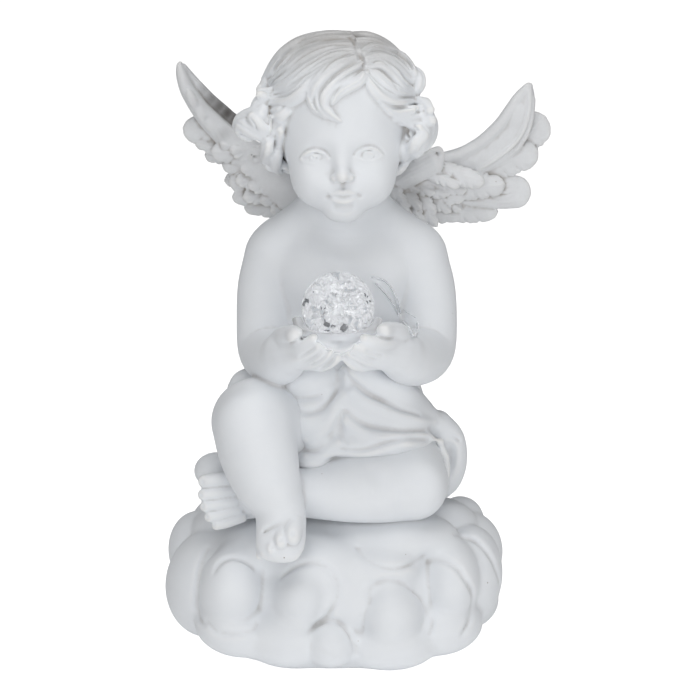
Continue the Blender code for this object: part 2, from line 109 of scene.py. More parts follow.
def smoothPath(rows, steps=5):
    rows = np.array(rows, float)
    ends = np.vstack([2 * rows[0] - rows[1], rows, 2 * rows[-1] - rows[-2]])
    path = []
    for a, b, c, d in zip(ends[:-3], ends[1:-2], ends[2:-1], ends[3:]):
        t = np.arange(steps)[:, None] / steps
        bend = (2 * a - 5 * b + 4 * c - d) * t ** 2 + (3 * b - a - 3 * c + d) * t ** 3
        path.append(0.5 * (2 * b + (c - a) * t + bend))
    path.append(rows[-1:])
    return np.vstack(path)


def limb(clay, rows, blend=2.0, cut=False):
    # a round limb through rows of x, y, z, radius
    path = smoothPath(rows)
    grow = blend + clay.band
    spots, sizes = path[:, :3], np.maximum(path[:, 3], 0.05)
    reachAll = sizes.max() + grow
    spans, axes = clay.window(spots.min(0) - reachAll, spots.max(0) + reachAll)
    if spans is None:
        return
    shape = np.full([s.stop - s.start for s in spans], clay.band + blend, np.float32)
    for index in range(len(path) - 1):
        a, b = spots[index], spots[index + 1]
        ra, rb = sizes[index], sizes[index + 1]
        reach = max(ra, rb) + grow
        cell, axes = clay.window(np.minimum(a, b) - reach, np.maximum(a, b) + reach)
        if cell is None:
            continue
        x, y, z = axes
        inner = tuple(slice(c.start - s.start, c.stop - s.start) for c, s in zip(cell, spans))
        along = b - a
        span = max(float(along @ along), 1e-6)
        t = ((x - a[0]) * along[0] + (y - a[1]) * along[1] + (z - a[2]) * along[2]) / span
        t = np.clip(t, 0, 1)
        away = np.sqrt((x - a[0] - t * along[0]) ** 2 + (y - a[1] - t * along[1]) ** 2
                       + (z - a[2] - t * along[2]) ** 2)
        shape[inner] = np.minimum(shape[inner], away - (ra + (rb - ra) * t))
    clay.merge(spans, shape, blend, cut)


def ribbon(clay, rows, away=None, facing=None, blend=0.6, steps=5, relief=None, tip=None):
    # a flat lock, fold or feather through rows of x, y, z, half width, half thickness
    path = smoothPath(rows, steps)
    spots, wide, thick = path[:, :3], np.maximum(path[:, 3], 0.15), np.maximum(path[:, 4], 0.15)
    tangent = np.gradient(spots, axis=0)
    tangent /= np.linalg.norm(tangent, axis=1)[:, None]
    out = np.broadcast_to(np.array(facing, float), spots.shape) if facing is not None \
        else spots - np.array(away, float)
    out = out - tangent * (out * tangent).sum(1)[:, None]
    out /= np.linalg.norm(out, axis=1)[:, None]
    side = np.cross(tangent, out)
    length = np.concatenate([[0], np.cumsum(np.linalg.norm(np.diff(spots, axis=0), axis=1))])
    grow = blend + min(clay.band, 2.5)
    reachAll = max(wide.max(), thick.max()) + grow
    spans, axes = clay.window(spots.min(0) - reachAll, spots.max(0) + reachAll)
    if spans is None:
        return
    full = [s.stop - s.start for s in spans]
    shape = np.full(full, clay.band + blend, np.float32)
    across = np.zeros(full, np.float32)
    along = np.zeros(full, np.float32)
    last = len(path) - 2
    for index in range(len(path) - 1):
        a, b = spots[index], spots[index + 1]
        reach = max(wide[index], wide[index + 1], thick[index]) + grow
        cell, axes = clay.window(np.minimum(a, b) - reach, np.maximum(a, b) + reach)
        if cell is None:
            continue
        x, y, z = axes
        inner = tuple(slice(c.start - s.start, c.stop - s.start) for c, s in zip(cell, spans))
        step = b - a
        span = max(float(step @ step), 1e-6)
        t = np.clip(((x - a[0]) * step[0] + (y - a[1]) * step[1] + (z - a[2]) * step[2]) / span, 0, 1)
        q = [x - a[0] - t * step[0], y - a[1] - t * step[1], z - a[2] - t * step[2]]

        def part(first, second):
            return sum(q[i] * (first[i] + (second[i] - first[i]) * t) for i in range(3))

        u = part(side[index], side[index + 1])
        v = part(out[index], out[index + 1])
        w = part(tangent[index], tangent[index + 1])
        ru = wide[index] + (wide[index + 1] - wide[index]) * t
        rv = thick[index] + (thick[index + 1] - thick[index]) * t
        rw = np.maximum(rv, tip) if tip and index in (0, last) else rv
        near = np.sqrt((u / ru) ** 2 + (v / rv) ** 2 + (w / rw) ** 2)
        steep = np.sqrt((u / ru ** 2) ** 2 + (v / rv ** 2) ** 2 + (w / rw ** 2) ** 2)
        value = near * (near - 1) / np.maximum(steep, 1e-4)
        closer = value < shape[inner]
        shape[inner] = np.where(closer, value, shape[inner])
        across[inner] = np.where(closer, u / ru, across[inner])
        along[inner] = np.where(closer, length[index] + t * (length[index + 1] - length[index]), along[inner])
    if relief:
        shape = shape + relief(across, along, length[-1]).astype(np.float32)
    clay.merge(spans, shape, blend)


def strands(count, depth, seed=0.0):
    # grooves of uneven width and depth that run along a lock of hair or a fold
    def relief(across, along, total):
        wave = across + 0.11 * np.sin(along * 0.2 + seed) + 0.05 * np.sin(along * 0.47 + 2.1 * seed)
        broad = (0.5 + 0.5 * np.cos(math.pi * count * wave + seed)) ** 3
        fine = (0.5 + 0.5 * np.cos(math.pi * count * 1.63 * wave + 2.3 * seed)) ** 5
        fade = np.clip(1.35 - np.abs(across), 0, 1) * np.clip((total - along) / 4 + 0.2, 0, 1)
        return depth * (0.8 * broad + 0.45 * fine) * fade
    return relief


viewFrom = (6.3, -927.5, 325.8)  # lines of folds and hair are laid on along this line of sight
missDepth = -4.0  # how deep a row lies where its line of sight passes the clay by


def laidOn(clay, line, plane=-33.0, lift=0.0):
    # drops rows of x, z and sizes along the line of sight until they touch the clay
    eyePlace = np.array(viewFrom)
    placed = []
    for x, z, *sizes in line:
        aim = np.array((x, plane, z))
        sight = (aim - eyePlace) / np.linalg.norm(aim - eyePlace)
        steps = np.arange(-40, 60, 0.25)
        spots = aim + sight * steps[:, None]
        cells = np.round((spots - clay.low) / clay.cell).astype(int)
        inside = np.all((cells >= 0) & (cells < clay.size), axis=1)
        values = np.full(len(steps), 9.0)
        values[inside] = clay.field[tuple(cells[inside].T)]
        if values.min() < 0:
            hit = spots[np.argmax(values < 0)]
        elif values.min() < clay.band - 0.2:
            hit = spots[np.argmin(values)]
        else:
            hit = aim + sight * (missDepth - plane) / sight[1]
        placed.append((*(hit - sight * lift), *sizes))
    return placed


def ridge(clay, line, blend=2.2, plane=-33.0, lift=-0.6):
    limb(clay, laidOn(clay, line, plane, lift), blend=blend)


def groove(clay, line, blend=1.6, plane=-33.0, lift=0.3):
    limb(clay, laidOn(clay, line, plane, lift), blend=blend, cut=True)


def mirrored(rows):
    return [(2 * midline - row[0], *row[1:]) for row in rows]


def largestBody(count, faces):
    # marks the vertices of the biggest connected body
    label = np.arange(count)
    a = faces.ravel()
    b = np.roll(faces, -1, axis=1).ravel()
    while True:
        low = np.minimum(label[a], label[b])
        fresh = label.copy()
        np.minimum.at(fresh, a, low)
        np.minimum.at(fresh, b, low)
        fresh = fresh[fresh]
        if np.array_equal(fresh, label):
            break
        label = fresh
    return label == np.bincount(label).argmax()


def meshOf(name, clay, triangles, material, soften=1, every=False):
    # turns the clay into one closed mesh, or into several when every body is kept
    grid = openvdb.FloatGrid(background=3.0)
    grid.copyFromArray(np.clip(clay.field / clay.cell, -3, 3), tolerance=0.0)
    points, _, quads = grid.convertToPolygons(isovalue=0.0, adaptivity=0.0)
    keep = np.ones(len(points), bool) if every else largestBody(len(points), quads)
    faces = quads[keep[quads[:, 0]]]
    used = np.unique(faces)
    renumber = np.zeros(len(points), int)
    renumber[used] = np.arange(len(used))
    places = (points[used] * clay.cell + clay.low) * unit
    mesh = bpy.data.meshes.new(name)
    mesh.from_pydata(places, [], renumber[faces][:, ::-1])
    piece = bpy.data.objects.new(name, mesh)
    bpy.context.scene.collection.objects.link(piece)
    if soften:
        smooth = piece.modifiers.new("soften", "SMOOTH")
        smooth.factor = 0.5
        smooth.iterations = soften
    if 2 * len(faces) > triangles:
        thin = piece.modifiers.new("thin", "DECIMATE")
        thin.ratio = triangles / (2 * len(faces))
    graph = bpy.context.evaluated_depsgraph_get()
    piece.data = bpy.data.meshes.new_from_object(piece.evaluated_get(graph))
    piece.modifiers.clear()
    piece.data.name = name
    piece.data.shade_smooth()
    piece.data.materials.append(material)
    parts[name] = clay
    print(name, "has", len(piece.data.polygons), "faces")
    return piece


# Shared shader effects, each a group that only gives values that change over the surface.
def group(name, inputs, outputs):
    tree = bpy.data.node_groups.new(name, "ShaderNodeTree")
    for label, kind, value in inputs:
        socket = tree.interface.new_socket(label, in_out="INPUT", socket_type=kind)
        if value is not None:
            socket.default_value = value
    for label, kind in outputs:
        tree.interface.new_socket(label, in_out="OUTPUT", socket_type=kind)
    return tree, tree.nodes.new("NodeGroupInput"), tree.nodes.new("NodeGroupOutput")


def maths(tree, kind, first, second=None, clamp=False):
    node = tree.nodes.new("ShaderNodeMath")
    node.operation = kind
    node.use_clamp = clamp
    for socket, value in zip(node.inputs, (first, second)):
        if isinstance(value, (int, float)):
            socket.default_value = value
        elif value is not None:
            tree.links.new(value, socket)
    return node.outputs[0]


def blendColours(tree, share, first, second):
    node = tree.nodes.new("ShaderNodeMix")
    node.data_type = "RGBA"
    tree.links.new(share, node.inputs["Factor"])
    for socket, value in ((node.inputs["A"], first), (node.inputs["B"], second)):
        if isinstance(value, tuple):
            socket.default_value = (*value, 1)
        else:
            tree.links.new(value, socket)
    return node.outputs["Result"]


def noiseOf(tree, place, scale, detail=2.0):
    node = tree.nodes.new("ShaderNodeTexNoise")
    node.inputs["Detail"].default_value = detail
    tree.links.new(place, node.inputs["Vector"])
    if isinstance(scale, (int, float)):
        node.inputs["Scale"].default_value = scale
    else:
        tree.links.new(scale, node.inputs["Scale"])
    return node.outputs["Fac"]


def grainGroup():
    # fine height noise: a soft swell with a sharp small grain on top
    tree, given, made = group("fineGrain", [("Vector", "NodeSocketVector", None),
                                            ("Scale", "NodeSocketFloat", 500.0)],
                              [("Height", "NodeSocketFloat"), ("Mottle", "NodeSocketFloat")])
    fine = noiseOf(tree, given.outputs["Vector"], given.outputs["Scale"], 3)
    broad = noiseOf(tree, given.outputs["Vector"], maths(tree, "MULTIPLY", given.outputs["Scale"], 0.12), 2)
    height = maths(tree, "ADD", maths(tree, "MULTIPLY", fine, 0.35), maths(tree, "MULTIPLY", broad, 0.65))
    tree.links.new(height, made.inputs["Height"])
    tree.links.new(broad, made.inputs["Mottle"])
    return tree


def specksGroup():
    # rare small specks and pits, about one in a square centimetre
    tree, given, made = group("rareSpecks", [("Vector", "NodeSocketVector", None),
                                             ("Scale", "NodeSocketFloat", 260.0)],
                              [("Mask", "NodeSocketFloat")])
    cells = tree.nodes.new("ShaderNodeTexVoronoi")
    tree.links.new(given.outputs["Vector"], cells.inputs["Vector"])
    tree.links.new(given.outputs["Scale"], cells.inputs["Scale"])
    lot = tree.nodes.new("ShaderNodeSeparateColor")
    tree.links.new(cells.outputs["Color"], lot.inputs["Color"])
    chosen = maths(tree, "GREATER_THAN", lot.outputs["Red"], 0.965)
    reach = maths(tree, "ADD", maths(tree, "MULTIPLY", lot.outputs["Green"], 0.07), 0.035)
    near = maths(tree, "SUBTRACT", 1.0, maths(tree, "DIVIDE", cells.outputs["Distance"], reach), clamp=True)
    tree.links.new(maths(tree, "MULTIPLY", chosen, near), made.inputs["Mask"])
    return tree


grain = grainGroup()
specks = specksGroup()


def useGroup(tree, what, place, scale):
    node = tree.nodes.new("ShaderNodeGroup")
    node.node_tree = what
    node.inputs["Scale"].default_value = scale
    tree.links.new(place, node.inputs["Vector"])
    return node.outputs


def materialBase(name):
    material = bpy.data.materials.new(name)
    material.use_nodes = True
    tree = material.node_tree
    place = tree.nodes.new("ShaderNodeTexCoord").outputs["Object"]
    return material, tree, tree.nodes["Principled BSDF"], place


def addBump(tree, shader, height, strength, distance):
    bump = tree.nodes.new("ShaderNodeBump")
    bump.inputs["Strength"].default_value = strength
    bump.inputs["Distance"].default_value = distance
    tree.links.new(height, bump.inputs["Height"])
    tree.links.new(bump.outputs["Normal"], shader.inputs["Normal"])


# Matt white paint on resin: cool white, lighter and warmer on the ridges as worn paint and painted highlight,
# a grey-brown tint in the creases as dust and painted shade, and dark painted shadow spots.
resinSettings = {"white": (0.83, 0.85, 0.872), "shade": (0.785, 0.808, 0.84), "rubbedAndHighlight": (0.88, 0.868, 0.84),
                 "washAndShade": (0.40, 0.375, 0.35), "paintedShadeColour": (0.075, 0.066, 0.06), "speck": (0.30, 0.25, 0.21),
                 "roughness": 0.52, "sheen": 0.42, "grain": 900, "specks": 210, "bump": (0.35, 0.00012),
                 "softness": 0.06, "softRadius": (0.004, 0.004, 0.004), "softScale": 0.6}


def resinMaterial():
    material, tree, shader, place = materialBase("white_resin")
    wearAndShade = tree.nodes.new("ShaderNodeAttribute")
    wearAndShade.attribute_name = "wearAndShade"
    masks = tree.nodes.new("ShaderNodeSeparateColor")
    tree.links.new(wearAndShade.outputs["Color"], masks.inputs["Color"])
    surface = useGroup(tree, grain, place, resinSettings["grain"])
    dots = useGroup(tree, specks, place, resinSettings["specks"])
    paint = blendColours(tree, surface["Mottle"], resinSettings["white"], resinSettings["shade"])
    # lighter, warmer paint on the ridges: worn paint and painted highlight
    rubbedAndHighlight = maths(tree, "MULTIPLY", masks.outputs["Green"], 0.8, clamp=True)
    paint = blendColours(tree, rubbedAndHighlight, paint, resinSettings["rubbedAndHighlight"])
    # grey-brown tint in the creases: dust and painted shade, broken up by the grain
    patchy = maths(tree, "ADD", maths(tree, "MULTIPLY", surface["Height"], 1.1), 0.35)
    washAndShade = maths(tree, "MULTIPLY", masks.outputs["Red"], patchy, clamp=True)
    paint = blendColours(tree, washAndShade, paint, resinSettings["washAndShade"])
    # dark painted shadow spots
    paint = blendColours(tree, masks.outputs["Blue"], paint, resinSettings["paintedShadeColour"])
    speckled = maths(tree, "MULTIPLY", dots["Mask"], 1.4, clamp=True)
    paint = blendColours(tree, speckled, paint, resinSettings["speck"])
    tree.links.new(paint, shader.inputs["Base Color"])
    shader.inputs["Roughness"].default_value = resinSettings["roughness"]
    shader.inputs["Specular IOR Level"].default_value = resinSettings["sheen"]
    shader.inputs["Subsurface Weight"].default_value = resinSettings["softness"]
    shader.inputs["Subsurface Radius"].default_value = resinSettings["softRadius"]
    shader.inputs["Subsurface Scale"].default_value = resinSettings["softScale"]
    height = maths(tree, "SUBTRACT", surface["Height"], maths(tree, "MULTIPLY", dots["Mask"], 1.6))
    addBump(tree, shader, height, *resinSettings["bump"])
    return material


# Clear glass, its crackle of thin sealed flakes, and the clear glue.
glassSettings = {"colour": (0.97, 0.985, 1.0, 1), "clear": 1.0, "bend": 1.47, "roughness": 0.02, "grain": 260,
                 "bump": (0.12, 0.00008)}
flakeSettings = {"dark": (0.10, 0.11, 0.12), "light": (0.98, 0.985, 1.0), "paintedGlow": 0.14, "roughness": 0.08,
                 "clear": 0.6, "grain": 900, "bump": (0.5, 0.0002)}
gelSettings = {"dark": (0.90, 0.93, 0.96), "light": (0.97, 0.98, 1.0), "clear": 0.7, "bend": 1.38,
               "roughness": 0.2, "grain": 420, "bump": (0.12, 0.0002)}


def glassMaterial():
    material, tree, shader, place = materialBase("crackle_glass")
    shader.inputs["Base Color"].default_value = glassSettings["colour"]
    shader.inputs["Transmission Weight"].default_value = glassSettings["clear"]
    shader.inputs["IOR"].default_value = glassSettings["bend"]
    shader.inputs["Roughness"].default_value = glassSettings["roughness"]
    surface = useGroup(tree, grain, place, glassSettings["grain"])
    addBump(tree, shader, surface["Height"], *glassSettings["bump"])
    return material


def flakeMaterial():
    material, tree, shader, place = materialBase("crackle_flakes")
    tone = tree.nodes.new("ShaderNodeAttribute")
    tone.attribute_name = "tone"
    surface = useGroup(tree, grain, place, flakeSettings["grain"])
    mottle = maths(tree, "MULTIPLY", surface["Mottle"], 0.25)
    level = maths(tree, "ADD", tone.outputs["Fac"], mottle, clamp=True)
    colour = blendColours(tree, level, flakeSettings["dark"], flakeSettings["light"])
    tree.links.new(colour, shader.inputs["Base Color"])
    # the flakes give off their own colour as a painted glow that lifts them
    tree.links.new(colour, shader.inputs["Emission Color"])
    shader.inputs["Emission Strength"].default_value = flakeSettings["paintedGlow"]
    shader.inputs["Roughness"].default_value = flakeSettings["roughness"]
    shader.inputs["Transmission Weight"].default_value = flakeSettings["clear"]
    addBump(tree, shader, surface["Height"], *flakeSettings["bump"])
    return material


def glueMaterial():
    material, tree, shader, place = materialBase("clear_glue")
    surface = useGroup(tree, grain, place, gelSettings["grain"])
    colour = blendColours(tree, surface["Mottle"], gelSettings["dark"], gelSettings["light"])
    tree.links.new(colour, shader.inputs["Base Color"])
    shader.inputs["Transmission Weight"].default_value = gelSettings["clear"]
    shader.inputs["IOR"].default_value = gelSettings["bend"]
    shader.inputs["Roughness"].default_value = gelSettings["roughness"]
    addBump(tree, shader, surface["Height"], *gelSettings["bump"])
    return material


resin = resinMaterial()


# The child's body, from the neck to the toes.
bodySettings = {"low": (-60, -72, 44), "high": (62, 42, 194), "cell": 0.62, "triangles": 190000,
                "fingerLine": 1.25}


def trunk(clay):
    rows = [(4, 10, 70, 33, 25), (4, 8, 90, 34, 26), (4, 4, 106, 30.5, 24), (4, 3.5, 121, 28.5, 23),
            (4, 5, 136, 27.5, 21.5), (4, 5.5, 150, 27, 20.5), (4, 6, 162, 22, 17.5),
            (4, 6.5, 173, 17, 15.5), (4, 6, 186, 15, 14.5)]
    ribbon(clay, rows, facing=(0, -1, 0), blend=0, steps=3)
    limb(clay, [(-22.5, 5, 158.5, 12.6), (4.5, 6.5, 163, 15), (32.5, 5, 158.5, 12.6)], blend=5)
    for side in (-1, 1):
        limb(clay, [(4 + side * 9, 7, 180, 8), (4 + side * 16, 6.5, 172, 9), (4 + side * 25, 5.5, 165, 9)],
             blend=6)
        egg(clay, (4 + side * 12, -5.5, 152), (13, 9, 11), blend=8)
        egg(clay, (4 + side * 13, 19, 152), (10, 8, 14), blend=8)
    egg(clay, (4, -13, 118), (17, 8, 13), blend=8)
    limb(clay, [(4, -19.5, 160, 2.6), (4, -19, 148, 2.2), (4, -21, 138, 1.2)], blend=5, cut=True)
    limb(clay, [(4, 30, 160, 2.6), (4, 28, 135, 2.4), (4, 32, 112, 1.6)], blend=5, cut=True)


def arm(clay, flip, spread):
    rows = [(-23.6, 5, 158, 12.8), (-26.6, 3, 146, 12.7), (-27.4, 0, 133, 12.4), (-27.2, -5, 122.4, 12),
            (-24.5, -16, 120.8, 11.3), (-20.8, -28, 122.8, 10), (-17.5, -36, 126.4, 8)]
    rows = [(row[0] + out, *row[1:]) for row, out in zip(flip(rows), spread)]
    limb(clay, rows, blend=2.2)
    fold = [(-13.5, -2, 125, 1.2), (-17, -12, 132.4, 1.1), (-27, -14.5, 133.4, 0.8)]
    limb(clay, flip(fold), blend=2.4, cut=True)


def hand(clay, flip, thumbRows, fingers, lines):
    palm = [(-19.5, -34, 127.6, 7.8), (-14.6, -40.5, 128.4, 7.4), (-9, -45.4, 129.4, 6.4),
            (-4, -48.6, 130, 4.8)]
    limb(clay, flip(palm), blend=3)
    for rows in fingers:
        limb(clay, rows, blend=1.1)
    limb(clay, thumbRows, blend=0.8)
    for line in lines:
        groove(clay, [(x, z, size * bodySettings["fingerLine"]) for x, z, size in line],
               blend=0.6, plane=-52, lift=-0.1)
    # nails
    for rows, size in zip([thumbRows] + fingers[:3], (2.0, 1.35, 1.3, 1.1)):
        x, y, z, radius = rows[-1]
        y, z = y - 0.76 * radius, z + 0.58 * radius
        egg(clay, (x, y, z), (size, 0.8, size * 0.9), turn=(-38, 0, 0), blend=0.3, cut=True)
        egg(clay, (x, y + 0.3, z - 0.3), (size * 0.84, 0.7, size * 0.76), turn=(-38, 0, 0), blend=0.3)


def hands(clay):
    rightThumb = [(-19.8, -33, 131.5, 5.2), (-18, -41, 134.6, 4.4), (-15.6, -46.6, 136.4, 4),
                  (-14.6, -51, 137, 3.5)]
    rightFingers = [
        [(-17.5, -43, 131.6, 3.6), (-13, -50, 132.3, 3), (-10.3, -53, 134.7, 2.6), (-7.6, -55, 136.6, 2.1)],
        [(-16, -44, 127.6, 3.6), (-13, -49, 128.9, 3), (-9.6, -53, 131.7, 2.7), (-5.7, -55.6, 134.1, 2.4),
         (-2.8, -55.8, 135.2, 1.9)],
        [(-12.5, -44, 125.4, 3.4), (-8.7, -49, 126.3, 2.8), (-5.2, -54, 129, 2.4), (-2.1, -56.6, 131.9, 2.1),
         (0.1, -55.8, 133.1, 1.7)],
        [(-9, -44, 125, 3), (-4.8, -48.6, 124.8, 2.4), (-1.4, -53, 126.9, 2.1), (1, -56, 129.4, 1.9),
         (2.3, -55.4, 130.6, 1.5)],
    ]
    leftThumb = [(26.6, -33, 132.5, 5), (24.4, -41, 136, 4.2), (21, -46.6, 138.2, 3.5), (19.3, -51, 138.9, 3)]
    leftFingers = [
        [(23.5, -42, 133.2, 3.6), (19.8, -49.6, 134.4, 3), (15.4, -54, 135.2, 2.7),
         (11.9, -55.6, 136.6, 2.2)],
        [(23, -43, 128.6, 3.6), (19.2, -48, 129.9, 3.1), (15.4, -53, 131.9, 2.7), (11.4, -56.2, 133.4, 2.4),
         (8.5, -56.4, 133.8, 1.9)],
        [(19, -43, 125.8, 3.4), (14.5, -49, 127, 2.8), (10.6, -54, 129.5, 2.4), (7.3, -56.2, 131.3, 2),
         (5.2, -55.8, 132.1, 1.6)],
        [(15, -43, 124.6, 3), (10.2, -48.6, 124.8, 2.4), (7.3, -52.6, 126.6, 2.1), (4.9, -55.2, 129.2, 1.8),
         (3.9, -54.8, 130.4, 1.4)],
    ]
    # grooves between the fingers, x, z and size
    rightLines = [
        [(-13.2, 128.8, 0.3), (-10.5, 130.5, 0.6), (-7.6, 132.6, 0.5)],
        [(-8.9, 125.8, 0.3), (-5.3, 127.3, 0.6), (-3.1, 130.2, 0.6), (-1.8, 132.6, 0.4)],
        [(-4.8, 124.0, 0.3), (-2.1, 126.1, 0.55), (-0.2, 128.5, 0.55), (0.7, 130.7, 0.35)],
        [(-17.0, 134.4, 0.3), (-14.9, 134.8, 0.6), (-12.2, 136.3, 0.6), (-10.8, 137.6, 0.4)],
    ]
    leftLines = [
        [(12.6, 131.2, 0.4), (15.9, 130.2, 0.6), (18.8, 129.6, 0.3)],
        [(6.3, 130.7, 0.4), (9.2, 128.3, 0.6), (13.5, 126.6, 0.3)],
        [(3.4, 129.9, 0.4), (5.8, 127.0, 0.55), (9.0, 125.1, 0.3)],
        [(17.4, 136.9, 0.5), (20.2, 136.3, 0.6), (22.9, 136.3, 0.3)],
    ]
    hand(clay, list, rightThumb, rightFingers, rightLines)
    hand(clay, mirrored, leftThumb, leftFingers, leftLines)


def legs(clay):
    rightThigh = [(-12, 4, 84, 19), (-22, -12, 92, 18), (-31, -27, 98, 16.4)]
    rightShin = [(-32.6, -31, 97.6, 16), (-30.2, -37, 88, 15.6), (-26.6, -42.5, 78, 13.6),
                 (-22, -46.5, 68.5, 9.6), (-20.6, -48.5, 63, 8.8)]
    leftThigh = [(20, 4, 80, 19), (27, -10, 74, 17.4), (31, -21.5, 71.2, 14.6)]
    leftShin = [(30.5, -24.5, 70, 14.2), (18, -29, 69, 13), (4, -31, 68.6, 11.6),
                (-12, -30.5, 68.6, 10), (-26, -29, 68, 8.8)]
    limb(clay, rightThigh, blend=3)
    limb(clay, rightShin, blend=3)
    limb(clay, leftThigh, blend=3)
    limb(clay, leftShin, blend=4)
    egg(clay, (14, -22, 72), (22, 15, 12.5), blend=6)
    egg(clay, (-35, -40.5, 101), (8, 6, 9), blend=7)
    egg(clay, (35, -33, 71), (7, 6, 9), blend=7)
    limb(clay, [(15.5, -40.5, 81.5, 2.0), (19, -43, 76, 1.4), (19.5, -43.5, 71, 0.6)], blend=5, cut=True)
    limb(clay, [(-12, -41, 86, 1.0), (-13.5, -42, 80, 1.2)], blend=3, cut=True)


def feet(clay):
    rightFoot = [(-21, -46, 67, 9, 8.6), (-20.8, -49.5, 62, 9.6, 8), (-20.7, -54, 58, 9.8, 6.2),
                 (-20.9, -57.6, 54.6, 9.5, 4.7), (-21.4, -60, 52, 8, 3.2)]
    ribbon(clay, rightFoot, facing=(-0.1, -0.72, 0.7), blend=2.5)
    rightToes = [
        [(-15.6, -54.6, 63.2, 3.5), (-15.9, -58.8, 60.6, 3.5), (-16, -60.6, 59.2, 3.1)],
        [(-19.6, -55.6, 61.4, 2.7), (-20.2, -60, 58.6, 2.8), (-20.4, -61.3, 57.2, 2.4)],
        [(-22.9, -55.8, 58.2, 2.4), (-23.9, -59.8, 55.4, 2.4), (-24.1, -61, 54, 2.0)],
        [(-25.6, -55.2, 56.2, 2.1), (-26.6, -58.6, 53.4, 2.0), (-26.9, -59.4, 52.4, 1.8)],
        [(-27.8, -54.2, 54.4, 1.8), (-28.6, -57, 51.8, 1.7), (-28.9, -57.6, 50.8, 1.5)],
    ]
    leftFoot = [(-44, -30, 66.8, 9.2, 5), (-38, -29, 66.8, 9.8, 6.4), (-30, -28.5, 67.4, 9.4, 8),
                (-20, -29, 68.4, 9, 8.6)]
    ribbon(clay, leftFoot, facing=(0, -1, 0.15), blend=2.5)
    leftToes = [
        [(-42, -32, 74.6, 3.4), (-48, -34, 74.5, 3.1), (-51.3, -34, 74.2, 2.9)],
        [(-41, -33.4, 70, 2.8), (-48, -35.8, 69.6, 2.6), (-51.8, -35.8, 69.2, 2.5)],
        [(-40.5, -34, 65.8, 2.7), (-47, -36.6, 65.3, 2.5), (-51, -36.8, 64.8, 2.4)],
        [(-39, -34.4, 62.4, 2.6), (-45.6, -37, 61.4, 2.4), (-49.4, -37.4, 60.7, 2.3)],
        [(-37, -34.6, 59.6, 2.4), (-43, -37.2, 58, 2.2), (-46.8, -37.8, 57.2, 2.0)],
    ]
    for rows in rightToes + leftToes:
        limb(clay, rows, blend=0.5)
    for x, y, z, wide, tall in ((-16, -63.2, 61.4, 1.9, 1.7), (-20.4, -63.4, 59.2, 1.5, 1.3),
                                (-24.1, -62.8, 55.6, 1.1, 1.0)):
        egg(clay, (x, y, z), (wide, 1.0, tall), turn=(-38, 0, 0), blend=0.25, cut=True)
    for x, y, z, size in ((-52.6, -36.6, 74.6, 1.5), (-53.2, -38, 69.6, 1.2), (-52.4, -39, 65.2, 1.1),
                          (-50.8, -39.4, 61, 1.0), (-48, -39.6, 57.6, 0.9)):
        egg(clay, (x, y, z), (size, 0.9, size), turn=(0, 0, -28), blend=0.25, cut=True)
    limb(clay, [(-27.4, -56.2, 59.4, 0.2), (-25.4, -57.4, 61.4, 0.5), (-19.9, -58.4, 64.6, 0.6),
                (-15.4, -57.8, 66.6, 0.3)], blend=2, cut=True)


def childBody(material):
    clay = Clay(bodySettings["low"], bodySettings["high"], bodySettings["cell"])
    trunk(clay)
    legs(clay)
    feet(clay)
    arm(clay, list, (0,) * 7)
    arm(clay, mirrored, (2.2, 2.8, 3.2, 3, 2.2, 1, 0))
    hands(clay)
    ball = ballPlace()
    glue = glueRadius()
    egg(clay, (ball[0], ball[1], ball[2] + 3), (glue, glue, ball[3] + 5.2), blend=0.6, cut=True)
    return meshOf("child_body", clay, bodySettings["triangles"], material)


# The head: a calm round child's face under a cap of combed locks and curls.
headSettings = {"low": (-48, -44, 172), "high": (56, 46, 254), "cell": 0.45, "triangles": 198000,
                "middle": 3.6, "lean": 0.045}


def onFace(x, z):
    # a place on the face, measured from its slightly leaning middle line
    lean = headSettings["lean"]
    return headSettings["middle"] + x - lean * (z - 190), z + lean * x


def face(clay):
    cx = headSettings["middle"]
    egg(clay, (cx, 2, 217), (27.6, 28.6, 27.6), blend=0)
    egg(clay, (cx, -7.6, 205), (23.2, 21.6, 22.4), blend=4)
    egg(clay, (cx, -13.6, 189), (12.8, 13.6, 11), blend=5)
    egg(clay, (cx, -22.4, 181.5), (7, 4.6, 4.6), blend=5)
    egg(clay, (cx, 2, 190), (15, 16, 12), blend=6)
    for side in (-1, 1):
        egg(clay, (cx + side * 10.2, -16, 193.4), (10, 12, 10.8), blend=5)
    egg(clay, (cx, -21.4, 189.4), (9.2, 7.6, 7.2), blend=5)
    for side in (-1, 1):
        x, z = onFace(side * 10.4, 204.6)
        egg(clay, (x, -34.2, z), (7.2, 7.3, 4.8), blend=5, cut=True)
    nose(clay)
    mouth(clay)
    for side in (-1, 1):
        eye(clay, side)


def nose(clay):
    def spot(x, y, z, size):
        place = onFace(x, z)
        return place[0], y, place[1], size

    limb(clay, [spot(0, -25.4, 208, 1.8), spot(0, -27.8, 202.6, 2.0), spot(0, -30, 198, 2.1)], blend=3.6)
    tip = spot(0, -31.4, 195.9, 0)
    egg(clay, tip[:3], (2.6, 2.7, 2.3), blend=1.7)
    for side in (-1, 1):
        wing = spot(side * 2.8, -29.6, 195.2, 0)
        egg(clay, wing[:3], (1.7, 2.2, 1.5), blend=1.2)
        hole = spot(side * 1.5, -31.4, 193.5, 0)
        egg(clay, hole[:3], (0.75, 1.0, 0.55), blend=0.6, cut=True)


